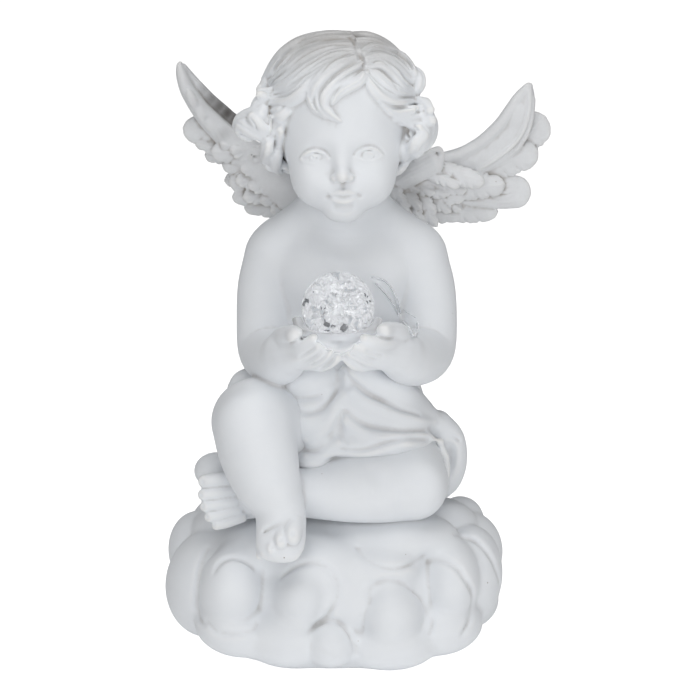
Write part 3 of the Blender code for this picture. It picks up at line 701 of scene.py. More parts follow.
def mouth(clay):
    def line(points):
        return [(*onFace(x, z), size) for x, z, size in points]

    groove(clay, line([(0, 192.8, 0.6), (0, 191, 0.7)]), blend=1.4, plane=-29, lift=0.1)
    ridge(clay, line([(-5.2, 188.2, 0.3), (-3, 189.1, 0.65), (-1.2, 189.7, 0.85), (0, 189.3, 0.8),
                      (1.2, 189.7, 0.85), (3, 189.1, 0.65), (5.2, 188.2, 0.3)]),
                      blend=1.3, plane=-29, lift=-0.15)
    ridge(clay, line([(-4, 187, 0.4), (-2, 186.1, 0.95), (0, 185.8, 1.15), (2, 186.1, 0.95), (4, 187, 0.4)]),
          blend=1.2, plane=-29, lift=-0.15)
    groove(clay, line([(-5.6, 188.1, 0.22), (-3, 187.9, 0.36), (0, 187.5, 0.5), (3, 187.9, 0.36),
                       (5.6, 188.1, 0.22)]),
           blend=0.6, plane=-29, lift=0.15)
    for side in (-1, 1):
        groove(clay, line([(side * 6, 188.1, 0.5), (side * 6.6, 187.7, 0.4)]), blend=1.6, plane=-29, lift=0.1)
    groove(clay, line([(-2.8, 183.4, 0.7), (0, 183, 1.0), (2.8, 183.4, 0.7)]), blend=2.4, plane=-29, lift=0.3)


def eye(clay, side):
    ex, ez = onFace(side * 10.4, 203.6)

    def line(points):
        return [(ex + side * x, ez + z + headSettings["lean"] * side * x, size) for x, z, size in points]

    egg(clay, (ex, -21.4, ez), (5.0, 5.6, 4.1), blend=1.2)
    ridge(clay, line([(-5.3, -0.9, 0.45), (-3.4, 1.1, 0.75), (0, 2.3, 0.95), (3.2, 1.5, 0.8),
                      (5.6, -0.7, 0.5)]),
          blend=0.8, plane=-27, lift=-0.2)
    ridge(clay, line([(-4.9, -1.1, 0.45), (-2.6, -2.1, 0.6), (0.2, -2.6, 0.7), (3, -2.1, 0.6),
                      (5.2, -0.9, 0.45)]),
          blend=0.9, plane=-27, lift=-0.25)
    groove(clay, line([(-5.6, 0.1, 0.22), (-3.6, 2.3, 0.36), (0, 3.4, 0.4), (3.8, 2.5, 0.36),
                       (6.2, 0, 0.22)]),
           blend=1.0, plane=-27, lift=0.15)
    groove(clay, line([(-4.4, -0.6, 0.25), (-2.6, 0.8, 0.3), (0, 1.5, 0.34), (2.6, 1.0, 0.3),
                       (4.6, -0.3, 0.25)]),
           blend=0.4, plane=-27, lift=0.15)
    ring = [(2.5 * math.cos(math.radians(turn)), -0.35 + 1.75 * math.sin(math.radians(turn)), 0.27)
            for turn in range(0, 361, 30)]
    groove(clay, line(ring), blend=0.35, plane=-27, lift=0.12)
    groove(clay, line([(-0.7, -0.5, 0.42), (0.1, -0.75, 0.42), (0.8, -0.2, 0.4)]),
           blend=0.3, plane=-27, lift=0.1)


# Hair: a cap, combed locks from the parting, side curls and rings of curls behind.
hairSettings = {"strandDepth": 0.5, "curlDepth": 0.6, "seed": 5, "plane": -20.0, "fuller": 1.45}


def hair(clay):
    egg(clay, (3.5, 4, 218.4), (29.2, 30.6, 28), blend=0.5)
    egg(clay, (4.4, 0, 226), (25.8, 25.6, 20.2), blend=3)
    egg(clay, (3.6, 12, 206), (27, 22, 20), blend=3)
    for number, rows in enumerate(backCurls(clay)):
        ribbon(clay, rows, away=headCentre, blend=0.5, relief=strands(3, hairSettings["curlDepth"], number))
    for centre, radii in (((-29.6, -6, 213.4), (7.4, 8, 5.8)), ((32.4, -4, 211.6), (6.2, 10, 9.4)),
                          ((31, 0, 229), (4.5, 6, 6)),
                          ((-27, -3, 221), (4.5, 8, 6))):
        egg(clay, centre, radii, blend=2)
    fuller = hairSettings["fuller"]
    full = [(min(count, 2), lift, [(x, z, wide * fuller, thick) for x, z, wide, thick in line])
            for count, lift, line in sideLocks()]
    for number, (count, lift, line) in enumerate(full + topLocks() + frontLocks()):
        placed = laidOn(clay, line, hairSettings["plane"], lift)
        ribbon(clay, placed, away=headCentre, blend=1.1 if number < len(full) else 0.4, steps=7,
               relief=strands(count, hairSettings["strandDepth"], 1.3 * number) if count else None)
    for line in combedLines():
        groove(clay, line, blend=0.7, plane=hairSettings["plane"], lift=0.15)
    for line in ([(32.4, 221.7, 0.6), (32.5, 221.4, 0.5)], [(32.4, 220.1, 0.6), (33, 219.6, 0.5)],
                 [(27.4, 213.9, 0.3), (29.0, 211.9, 0.6), (29.4, 209.9, 0.5)],
                 [(31.3, 214.3, 0.3), (32.9, 212.3, 0.5), (32.5, 210.3, 0.3)],
                 [(-33.4, 208.6, 0.5), (-30, 208, 0.6)]):
        groove(clay, line, blend=0.8, plane=hairSettings["plane"], lift=-0.2)


def onHead(clay, direction):
    # the outermost place inside the clay along a direction from the middle of the head
    spots = np.array(headCentre) + np.array(direction) * np.arange(8, 48, 0.25)[:, None]
    cells = np.clip(np.round((spots - clay.low) / clay.cell).astype(int), 0, clay.size - 1)
    inside = np.nonzero(clay.field[tuple(cells.T)] < 0)[0]
    return Vector(spots[inside[-1]])


def backCurls(clay):
    # every curl winds once round a point on the back of the head
    draw = random.Random(hairSettings["seed"])
    curls = []
    for level, reachX, reachY, count, size in ((240, 8, 14, 5, 7), (232, 17, 23, 8, 7.4),
                                               (221, 24, 28, 9, 7.4),
                                               (208, 27, 28, 10, 7.2), (197, 23, 24, 8, 6.6),
                                               (188, 15, 17, 6, 5.6)):
        for index in range(count):
            angle = math.radians(14 + 152 * (index + draw.uniform(-0.16, 0.16)) / (count - 1))
            spot = Vector((headCentre[0] + reachX * math.cos(angle),
                           headCentre[1] + 3 + reachY * math.sin(angle), level + draw.uniform(-1.6, 1.6)))
            spot = onHead(clay, (spot - Vector(headCentre)).normalized())
            curls.append(curlRows(spot, size * draw.uniform(0.85, 1.15), draw))
    return curls


def curlRows(spot, size, draw):
    out = (spot - Vector(headCentre)).normalized()
    side = out.cross(Vector((0, 0, 1))).normalized()
    rise = side.cross(out)
    hand = draw.choice((-1, 1))
    start = draw.uniform(0, 2 * math.pi)
    rows = []
    for step in range(9):
        angle = start + hand * math.radians(52) * step
        reach = size * (0.95 - 0.085 * step)
        place = spot + side * (reach * math.cos(angle)) + rise * (reach * math.sin(angle) * 0.9)
        place += out * (0.28 * step - 0.6)
        rows.append((*place, size * (0.34 - 0.018 * step), size * (0.32 - 0.012 * step)))
    return rows


def sideLocks():
    # strand count, lift off the head and rows of x, z, half width, half thickness
    return [
        (3, 0.0, [(-27.6, 225.2, 2, 2.4), (-29.6, 222.9, 2, 2.6), (-30, 219.7, 2.2, 2.6),
                  (-28.1, 217, 2, 2.2)]),
        (3, 0.3, [(-28.8, 217.8, 2, 2.2), (-32.7, 218.2, 2.4, 2.8), (-35.9, 216.6, 2.4, 3),
                  (-37.1, 213.9, 2, 2.6),
                  (-35.3, 210.5, 1.6, 2), (-32.8, 209.5, 1.2, 1.6)]),
        (3, 0.4, [(-20.6, 215, 1.6, 2), (-22.6, 212.3, 2.6, 2.6), (-27.7, 210.9, 3, 3),
                  (-32.8, 212.7, 2.4, 2.8),
                  (-36.1, 214.1, 1.8, 2.4), (-37.2, 212.5, 1.2, 1.8)]),
        (3, 0.2, [(-19.1, 218.6, 1.6, 2), (-21.4, 215.8, 2.6, 2.6), (-25.7, 213.9, 2.8, 2.8),
                  (-29.6, 215.4, 2.2, 2.4),
                  (-31.9, 217.8, 1.6, 2)]),
        (2, 0.0, [(-16.7, 221.7, 1.4, 1.8), (-20.6, 219.3, 2.4, 2.4), (-24.5, 218.6, 2.6, 2.6),
                  (-27.6, 220.1, 2, 2.2)]),
        (2, 0.0, [(-25, 209.2, 1.4, 1.8), (-26.2, 205.6, 2.2, 2.4), (-26.4, 201.7, 2.4, 2.6),
                  (-25.1, 198.5, 2, 2.2)]),
        (2, 0.2, [(-20.9, 212.7, 1.4, 1.8), (-22.4, 208.4, 2.8, 2.8), (-23.5, 204, 3.4, 3),
                  (-23.7, 200.1, 3, 2.8),
                  (-21.5, 196.9, 1.6, 2)]),
        (3, 0.0, [(31.2, 235.3, 2.2, 2.4), (32.8, 233.6, 2.0, 2.8), (33.2, 230.6, 2.0, 2.8),
                  (31.8, 227.9, 2, 2.4)]),
        (3, 0.4, [(35, 219.7, 2.6, 2.6), (37.5, 215.4, 3.2, 3.2), (36.8, 210.3, 3.4, 3.4),
                  (33.5, 206.4, 3.2, 3.4),
                  (30.2, 204, 2.6, 3), (28, 200.9, 1.4, 2)]),
        (2, 0.3, [(26.2, 216.6, 1.4, 1.6), (30.9, 216.2, 2.6, 2.6), (35.2, 215, 3.2, 3),
                  (37.5, 215.8, 2, 2.2)]),
        (2, 0.3, [(33.6, 213.5, 2, 2), (35.2, 210.3, 2.6, 2.6), (32.1, 207.2, 2.6, 2.8),
                  (29, 204.8, 2.2, 2.6),
                  (27.5, 201.7, 1.2, 2)]),
        (2, 0.0, [(23.5, 217.8, 1, 1.4), (27.4, 218, 1.8, 2.2), (32, 219.3, 2.2, 2.4),
                  (36.3, 219.3, 2.2, 2.4),
                  (38.3, 216.6, 1.6, 2)]),
        (0, 0.0, [(30.1, 210.7, 1.2, 1.6), (28.2, 208.4, 1.8, 2.2), (27.2, 205.2, 1.6, 2.2),
                  (27.5, 201.7, 1, 1.6)]),
    ]


def topLocks():
    # combed back from the parting on both sides
    return [
        (3, -1.0, [(6.3, 249.6, 2.4, 1.8), (-3, 249.2, 3.6, 2.4), (-11.9, 247, 4, 2.8), (-18.5, 242.8, 4, 3),
                   (-22.8, 237.4, 3.6, 3), (-26, 232.4, 2.6, 2.4)]),
        (4, -0.9, [(6.7, 248.1, 2.4, 1.8), (-4.6, 247.3, 3.8, 2.4), (-14.3, 243.4, 4.2, 2.8),
                   (-20.9, 237.6, 4, 3),
                   (-25.6, 231.8, 2.8, 2.6), (-28.5, 229.1, 1.4, 1.6)]),
        (3, -1.0, [(8.2, 249.6, 2, 1.6), (13, 249, 3, 2.2), (18.6, 246.6, 3.2, 2.4), (23.4, 242.8, 3, 2.4),
                   (27, 238.4, 2.4, 2.2)]),
        (3, -0.9, [(8.6, 247.3, 2, 1.6), (14.6, 246.6, 3, 2.2), (20, 244.2, 3, 2.4), (25, 240.6, 3, 2.4),
                   (28.6, 236.2, 2.2, 2.2)]),
        (4, -0.8, [(7.9, 245.4, 2.2, 1.8), (-3, 243.8, 3.8, 2.4), (-12.3, 239.6, 4.2, 2.8),
                   (-19.4, 233.8, 4, 3),
                   (-24.8, 229.5, 3, 2.8), (-28.5, 228.3, 1.6, 2)]),
        (4, -0.5, [(9, 243.4, 2.2, 1.8), (0.1, 241.1, 4, 2.6), (-8.5, 236.5, 4.6, 3), (-15.5, 231, 4.2, 3.4),
                   (-22.5, 227.1, 3.4, 3.2), (-28.2, 227.1, 1.8, 2.2)]),
        (2, 0.2, [(7.1, 240.7, 2, 1.6), (-1.5, 237.6, 3.4, 2.6), (-7.3, 233, 4, 3.2), (-12, 227.9, 3.8, 3.6),
                  (-17.9, 224, 3.2, 3.4), (-24.1, 224, 2.6, 3), (-28.6, 226.4, 1.4, 2)]),
    ]


def frontLocks():
    return [
        # waves on the child's left of the parting
        (2, -0.6, [(11, 242.3, 2, 1.6), (15.6, 244.2, 2.8, 2.4), (21.4, 243, 3.2, 2.8), (26.5, 240, 3.2, 3),
                   (30, 235.7, 2.6, 2.6), (31.4, 232.2, 1.4, 1.8)]),
        (2, -0.5, [(11.7, 240, 1.8, 1.6), (17.2, 240.7, 2.8, 2.6), (22.6, 238.8, 3.4, 3),
                   (26.9, 234.9, 3.2, 3),
                   (29.6, 231.8, 2, 2.2)]),
        (2, -0.5, [(12.5, 237.6, 1.6, 1.6), (17.6, 237.6, 2.8, 2.6), (22.2, 234.9, 3.2, 3),
                   (25.8, 230.6, 2.8, 2.8),
                   (29.3, 228.7, 1.4, 1.8)]),
        (2, -0.4, [(12.9, 235.7, 1.4, 1.6), (16.8, 233.8, 2.6, 2.4), (20.7, 229.9, 3, 2.8),
                   (25.4, 227.1, 2.6, 2.6),
                   (30.4, 227.1, 1.8, 2)]),
        (0, 0.3, [(18.8, 222.9, 1.4, 1.8), (22.3, 220.3, 2.2, 2.4), (27, 219.9, 2, 2.4),
                  (31.3, 220.9, 1.6, 2)]),
        (2, 0.3, [(12.9, 233.8, 1.2, 1.6), (15.3, 229.1, 2.8, 2.6), (19.5, 225.2, 3.2, 3.2),
                  (25, 223.4, 3, 3.2),
                  (30.9, 223.8, 2.6, 3), (35.3, 223.2, 2.2, 2.6), (37.5, 220.5, 1.6, 2)]),
        # the forelock that curls on the brow
        (2, -0.2, [(7.9, 240.7, 1.6, 1.6), (1.6, 238, 2.6, 2.2), (-4.6, 233.4, 2.8, 2.6),
                   (-7.9, 228.7, 2.4, 2.6),
                   (-8.7, 224.4, 2, 2.4), (-7, 220.5, 1.5, 2), (-3.5, 217.8, 0.8, 1.2)]),
        (2, 0.3, [(12.5, 235.3, 1.4, 1.6), (9.8, 231.8, 2.4, 2.4), (5.5, 229.5, 2.6, 2.6),
                  (2, 226.8, 1.9, 2.4),
                  (-0.3, 223.6, 1, 1.6)]),
        (2, 0.1, [(11, 238.4, 2, 1.8), (5.1, 235.3, 3.4, 2.6), (-0.3, 231, 4, 3.2), (-3.4, 226.4, 3.9, 3.4),
                  (-3.8, 222.5, 3.3, 3.2), (-1.5, 219.1, 2.2, 2.6), (2.4, 216.4, 0.7, 1.2)]),
    ]


def combedLines():
    # the deeper combed lines, x, z and size
    return [
        [(5.9, 248.4, 0.5), (-4.5, 248.1, 0.8), (-13.1, 245.7, 0.9), (-19.3, 241.1, 0.9), (-24, 234.9, 0.7),
         (-27.6, 229.9, 0.4)],
        [(7.1, 246.1, 0.4), (-3, 245.4, 0.8), (-12.3, 241.5, 0.9), (-19, 236.1, 0.9), (-24.8, 230.6, 0.5)],
        [(8.2, 244.2, 0.4), (-1.5, 242.7, 0.7), (-10.8, 238, 0.8), (-17.8, 232.6, 0.7), (-25.6, 228.7, 0.4)],
        [(2.4, 241.5, 0.4), (-6.1, 237.6, 0.6), (-13.1, 233, 0.7), (-19.4, 229.1, 0.5), (-24.1, 228.3, 0.3)],
        [(-29.1, 228.3, 0.5), (-26.4, 228.5, 0.7), (-23.7, 228.5, 0.4)],
        [(-27.2, 226.4, 0.3), (-22.5, 225.6, 0.6), (-17.5, 226.8, 0.6), (-13.5, 229.5, 0.3)],
        [(10.2, 239.6, 0.4), (3.6, 236.1, 0.7), (-2.3, 231.4, 0.8), (-5.8, 226.8, 0.8), (-6, 222.9, 0.7),
         (-4.2, 219.3, 0.5), (0.1, 216.6, 0.3)],
        [(11, 236.5, 0.3), (5.5, 233.8, 0.5), (0.5, 229.9, 0.6), (-2.7, 225.6, 0.5), (-2.7, 222.1, 0.3)],
        [(10.2, 233, 0.3), (5.1, 230.6, 0.5), (1.2, 228.3, 0.6), (-1.1, 224.8, 0.5), (-1.3, 222.1, 0.3)],
        [(6.3, 242.7, 0.4), (0.1, 240, 0.7), (-5.7, 234.9, 0.8), (-9.3, 229.9, 0.8), (-10.1, 225.6, 0.5)],
        [(9.4, 248.4, 0.5), (15.6, 247.7, 0.7), (21.8, 245.7, 0.8), (27.3, 241.5, 0.7), (30.8, 236.9, 0.4)],
        [(10.6, 243.8, 0.5), (14.8, 245.4, 0.7), (21, 244.2, 0.7), (26.5, 241.1, 0.6), (30.8, 236.5, 0.4)],
        [(12.5, 239.6, 0.4), (17.2, 241.9, 0.5), (22.6, 241.1, 0.6), (27.3, 237.6, 0.6), (30.4, 233.4, 0.4)],
        [(13.3, 238, 0.4), (17.9, 239.6, 0.6), (22.6, 237.2, 0.6), (26.5, 233, 0.5), (28.5, 230.6, 0.3)],
        [(13.7, 236.9, 0.3), (18.7, 235.7, 0.6), (22.2, 232.2, 0.6), (25, 228.7, 0.4)],
        [(13.3, 234.9, 0.3), (16.8, 230.6, 0.6), (20.7, 227.5, 0.6), (25.4, 225.6, 0.7), (30.8, 225.6, 0.5)],
        [(18, 224, 0.4), (22.3, 221.9, 0.8), (27.4, 221.7, 0.8), (31.6, 221.9, 0.6)],
        [(21.5, 220.5, 0.3), (25, 218.6, 0.6), (28.9, 219.1, 0.6), (31.3, 219.9, 0.4)],
        [(5.5, 249, 0.6), (7.1, 248, 0.9), (9, 245, 1), (10.6, 241.1, 1), (11.7, 237.6, 0.8),
         (12.5, 234.9, 0.5)],
    ]


def head(material):
    clay = Clay(headSettings["low"], headSettings["high"], headSettings["cell"])
    face(clay)
    hair(clay)
    return meshOf("head", clay, headSettings["triangles"], material)


# The wings: a smooth horn along the leading edge, long feathers and rows of small ones.
leftWingSettings = {"low": (4, 8, 158), "high": (95, 44, 232), "cell": 0.52, "triangles": 150000, "seed": 11}
rightWingSettings = {"low": (-72, 8, 158), "high": (8, 48, 240), "cell": 0.52, "triangles": 140000}


def vane(across, along, total):
    # a faint shaft and combed barbs, deeper toward the edges
    lean = along - 3.4 * np.abs(across)
    comb = (0.5 + 0.5 * np.cos(2 * math.pi * lean / 2.6)) ** 2
    split = np.exp(-((lean - total * 0.72) / 0.45) ** 2) + np.exp(-((lean - total * 0.45) / 0.4) ** 2)
    edge = np.clip(np.abs(across) * 1.6 - 0.25, 0, 1)
    return 0.22 * comb * edge + 0.7 * split * edge - 0.3 * np.exp(-(across / 0.11) ** 2)


def feather(clay, rows, tip, facing=(0, -1, 0.12), relief=vane, blend=0.3):
    ribbon(clay, rows, facing=facing, blend=blend, relief=relief, tip=tip, steps=6)


def backFeathers(clay, rows, depth, wide):
    # feathers on the back of a wing, from rows of x, z, length and turn
    for x, z, long, turn in rows:
        angle = math.radians(turn)
        ends = [(x + long * share * math.cos(angle), depth - 1.2 * share,
                 z - 1.5 + long * share * math.sin(angle), wide - share, 2.1) for share in (0, 0.5, 0.8)]
        feather(clay, ends, facing=(0, 1, 0), tip=4)


def notches(clay, lines, blend=0.3):
    for rows in lines:
        limb(clay, rows, blend=blend, cut=True)


def leftHorn(clay):
    # the wing on the child's left is seen broadside
    root = [(6, 24, 166, 9, 6), (18, 26, 176, 9.5, 6.5), (32, 28, 185, 9, 6.5), (44, 30, 190.4, 7.6, 6)]
    ribbon(clay, root, facing=(0, -1, 0.1), blend=1)
    blade = [(40, 31, 189, 7, 4), (48, 31, 191.4, 6.4, 4), (54.8, 31, 193.8, 6.2, 4),
             (59.9, 31, 196.3, 6.5, 4),
             (65, 31, 199.4, 6.4, 4), (69.4, 31, 203, 6.2, 3.9), (73, 31, 207.3, 6, 3.8),
             (75.8, 31, 212.2, 5.6, 3.6), (78, 31, 217.2, 4.4, 3.2), (79.4, 31, 221.2, 2.8, 2.6),
             (80, 31, 224, 1.3, 1.6)]
    ribbon(clay, blade, facing=(-0.1, -1, 0.2), blend=0.5)
    rim = [(42, 28.6, 194.2, 2.4), (49.5, 28.6, 195.6, 2.4), (54.4, 28.6, 198, 2.5), (60, 28.6, 201.4, 2.6),
           (64.6, 28.6, 205.4, 2.6), (68.6, 28.6, 209.8, 2.5), (71.9, 28.8, 214.8, 2.3),
           (75.1, 29.2, 220, 1.9), (78.6, 29.8, 224, 1.4), (79.8, 30.4, 224.6, 1.1)]
    limb(clay, rim, blend=1.6)
    edge = [(59, 27, 190, 0.7), (63, 26.9, 192.5, 0.8), (68.4, 26.8, 196.4, 0.8), (73.4, 26.8, 200.4, 0.8),
            (77, 27, 205.2, 0.8), (79.2, 27.4, 211.4, 0.8), (80, 27.9, 217.6, 0.7), (79.9, 28.8, 222.6, 0.6)]
    limb(clay, edge, blend=1.6)
    outer = [(60.4, 28.6, 188.9, 0.8), (65.6, 28.6, 192.2, 0.9), (70.6, 28.6, 195.2, 0.9),
             (75.4, 28.6, 199, 0.9), (78.8, 28.8, 203.8, 0.9), (80.6, 29, 209, 0.9), (81.4, 29.2, 214, 0.8),
             (81.6, 29.6, 219, 0.7)]
    limb(clay, outer, blend=1.5)
    for x, z, wide, tall, turn in ((74.6, 211.8, 3.4, 6.4, -18), (70.8, 203.4, 3.6, 4.6, -34),
                                   (66, 199.6, 3.2, 4, -44), (61.4, 196.6, 2.8, 3.4, -50),
                                   (57, 194.4, 2.4, 3, -56)):
        egg(clay, (x, 28.2, z), (wide, 1.5, tall), turn=(0, -turn, 0), blend=0.45)
    limb(clay, [(57.6, 26, 196.2, 0.4), (57.9, 26, 194.4, 0.55), (57.6, 26, 193, 0.3)], blend=0.3, cut=True)
    limb(clay, [(68.6, 26.2, 201, 0.3), (69.3, 26.2, 198.8, 0.5), (67.8, 26.2, 196.8, 0.25)],
         blend=0.4, cut=True)


def leftWing(material):
    clay = Clay(leftWingSettings["low"], leftWingSettings["high"], leftWingSettings["cell"])
    ribbon(clay, [(8, 26, 168, 9, 4), (26, 29, 178, 10, 4), (46, 31.5, 184, 10, 3.6), (62, 32.5, 189, 9, 3)],
           facing=(0, -1, 0.1), blend=0)
    feather(clay, [(62, 34, 192, 6.4, 2.4), (72, 34, 197.6, 7.2, 2.4), (79, 34, 203.4, 7.8, 2.3),
                   (82.6, 34, 207, 7.6, 2)], tip=6.4)
    feather(clay, [(58, 31.4, 189, 6, 2.2), (68, 31.2, 192.4, 6.8, 2.3), (78, 31, 195.8, 6.5, 2)], tip=6.3)
    feather(clay, [(48, 31.5, 182.4, 6, 2.4), (58, 31, 181, 6.8, 2.6), (68, 30.6, 180.5, 7, 2.6),
                   (75, 30.4, 180.6, 6.9, 2.2)], tip=6.5, relief=strands(6, 0.45, 0.4))
    feather(clay, [(48, 28.6, 182.6, 4.4, 2), (56, 28.2, 182.6, 5.2, 2.2), (65.6, 27.8, 183.6, 4.6, 2)],
            tip=4.8)
    feather(clay, [(44, 31.8, 174, 4.6, 2.3), (54, 31.6, 172.2, 5, 2.3), (62.2, 31.4, 172.2, 4.5, 2)],
            tip=5.6)
    feather(clay, [(36, 30.8, 175, 4.6, 2.2), (43, 30.4, 171.8, 4.5, 2.2), (47.7, 30.4, 170.8, 3.4, 1.9)],
            tip=4.6)
    feather(clay, [(28, 29.8, 177, 4.6, 2.2), (35, 29.4, 173, 4.2, 2.2), (39.4, 29, 171.6, 3.2, 1.8)],
            tip=3.4)
    feather(clay, [(38, 27.4, 180.6, 3.8, 1.9), (45, 27, 179.6, 4.2, 2), (50.4, 26.8, 179.2, 3.4, 1.8)],
            tip=3.6)
    feather(clay, [(40, 26, 185.2, 3.2, 1.8), (46, 25.4, 183.8, 3.6, 1.9), (51, 25.2, 182.8, 3, 1.6)],
            tip=3.4)
    feather(clay, [(54, 28.4, 187, 3.6, 1.8), (60, 28, 185.6, 3.8, 1.9), (64, 27.8, 185.6, 3, 1.6)], tip=3.4)
    # leaf shaped coverts that stand clear of the wing
    feather(clay, [(42, 23.4, 192.6, 2.4, 1.8), (48, 21.6, 191, 3.2, 2), (53, 20.6, 189.6, 3, 1.8)],
            facing=(0.1, -1, 0.5), tip=4)
    feather(clay, [(48.6, 22, 189.4, 3, 2), (54, 20.2, 188, 4.5, 2.3), (57.4, 19.6, 187, 4, 2)],
            facing=(0.1, -1, 0.35), tip=4.2)
    feather(clay, [(36.6, 21.4, 190, 1.8, 1.6), (42, 19.6, 188.2, 2.8, 1.9), (47, 18.6, 186.2, 2.6, 1.7)],
            facing=(0.1, -1, 0.4), tip=4.6)
    # the square-ended stub beside the hair
    feather(clay, [(27, 22, 187, 5, 3.2), (34, 21, 191.4, 5.4, 3.4), (40.6, 20.4, 195, 5.4, 3.4)],
            facing=(-0.35, -1, 0.1), tip=2.2, relief=strands(7, 0.3, 0.2), blend=0.5)
    limb(clay, [(33.2, 19.6, 196.2, 1), (38, 18.4, 198.6, 1.1), (42.4, 18.2, 200.2, 1.2),
                (43.8, 19.4, 197.2, 1.2), (43.4, 20, 193.4, 1)], blend=0.9)
    draw = random.Random(leftWingSettings["seed"])
    for x, y, z, turn in ((24, 16, 187, -20), (30, 17, 184.6, -25), (36, 18.4, 183, -18),
                          (41.6, 20.4, 181.6, -10),
                          (25, 14, 181.6, -40), (31.4, 15, 179, -42), (37.4, 18.6, 177, -40),
                          (43.4, 22, 176, -34),
                          (27.6, 12.6, 176.4, -55), (33, 15.6, 173.4, -52), (38.6, 18.4, 171.8, -50),
                          (21, 14, 184, -50), (47.6, 25, 176, -30)):
        angle = math.radians(turn)
        dx, dz = 3 * math.cos(angle), 3 * math.sin(angle)
        y += 5 + draw.uniform(-0.5, 0.5)
        feather(clay, [(x - dx, y + 1.6, z - dz, 2.9, 1.9), (x, y, z, 3.3, 1.9),
                       (x + dx, y - 0.5, z + dz, 2.5, 1.6)], facing=(0.1, -1, 0.3), tip=2.8)
    leftHorn(clay)
    backFeathers(clay, [(34, 180, 16, -12), (44, 184, 20, -2), (54, 189, 20, 10), (64, 195, 17, 24),
                        (28, 178, 13, -38), (66, 203, 13, 40)], depth=35.6, wide=4.6)
    notches(clay, ([(44.4, 26, 180.4, 0.3), (46.6, 24.5, 178.2, 0.5), (47.6, 24.5, 176.6, 0.3)],
                  [(60.4, 27.5, 176.4, 0.35), (56, 27.5, 175.8, 0.5), (50, 27, 176.2, 0.4)],
                  [(52.6, 28.5, 173.6, 0.3), (54, 28.5, 171, 0.5), (55.2, 28.6, 169.2, 0.4)],
                  [(43.4, 27, 174.6, 0.3), (45.4, 27, 172, 0.5), (48, 27, 169.4, 0.3)],
                  [(30, 17, 185.6, 0.4), (33.4, 16.4, 186, 0.6), (36.2, 16.4, 184.2, 0.4)]))
    return meshOf("left_wing", clay, leftWingSettings["triangles"], material)


def rightHorn(clay):
    # the wing on the child's right is turned, so its horn shows a narrow face and a dark back
    root = [(2, 24, 166, 9, 6), (-12, 26, 177, 9, 6.4), (-25, 28, 187.6, 8.6, 6.2), (-36, 30, 196, 7, 5.6)]
    ribbon(clay, root, facing=(0, -1, 0.1), blend=1)
    blade = [(-34, 30, 195, 6.4, 4.6), (-40.4, 30, 200, 5.4, 4.6), (-44.8, 30, 203.8, 5, 4.6),
             (-48.2, 30, 207.2, 4.6, 4.4), (-51.4, 30, 210.4, 4.4, 4.2), (-54.8, 30, 214.2, 3.9, 4),
             (-58, 30, 218.8, 3.5, 3.7), (-60.6, 30, 223.2, 3.1, 3.3), (-62.6, 30, 228.6, 2.4, 2.8),
             (-63.5, 30, 232.2, 1.4, 2), (-63.4, 30.4, 233.6, 0.9, 1.2)]
    ribbon(clay, blade, facing=(-0.1, -1, 0.2), blend=0.5)
    back = [(-36, 35.6, 205, 4.8, 4), (-42.6, 35.8, 208.8, 4, 4), (-47.2, 35.6, 213.2, 3.6, 3.8),
            (-51.8, 35.2, 217.8, 3.2, 3.4), (-56.2, 34.4, 223, 2.8, 3), (-59.8, 33.4, 228, 2.2, 2.6),
            (-62, 32, 232, 1.4, 1.8)]
    ribbon(clay, back, facing=(-0.2, -1, 0.2), blend=1.2)
    for x, z, wide, tall, turn in ((-58.4, 219.4, 1.9, 4.4, 24), (-54.6, 213.2, 2.2, 3.6, 34),
                                   (-50.6, 208.6, 2.4, 3.4, 42), (-46.4, 204.6, 2.5, 3.2, 46)):
        egg(clay, (x, 26.6, z), (wide, 1.3, tall), turn=(0, -turn, 0), blend=0.5)
    notches(clay, ([(-46.4, 25, 209.4, 0.4), (-47.4, 25, 206.6, 0.7), (-45.6, 25, 203.4, 0.5),
                    (-44, 25, 201.4, 0.3)],
                  [(-50.8, 25.4, 214.2, 0.3), (-52.4, 25.4, 211.8, 0.5), (-53.2, 25.4, 210.6, 0.3)]),
                  blend=0.4)


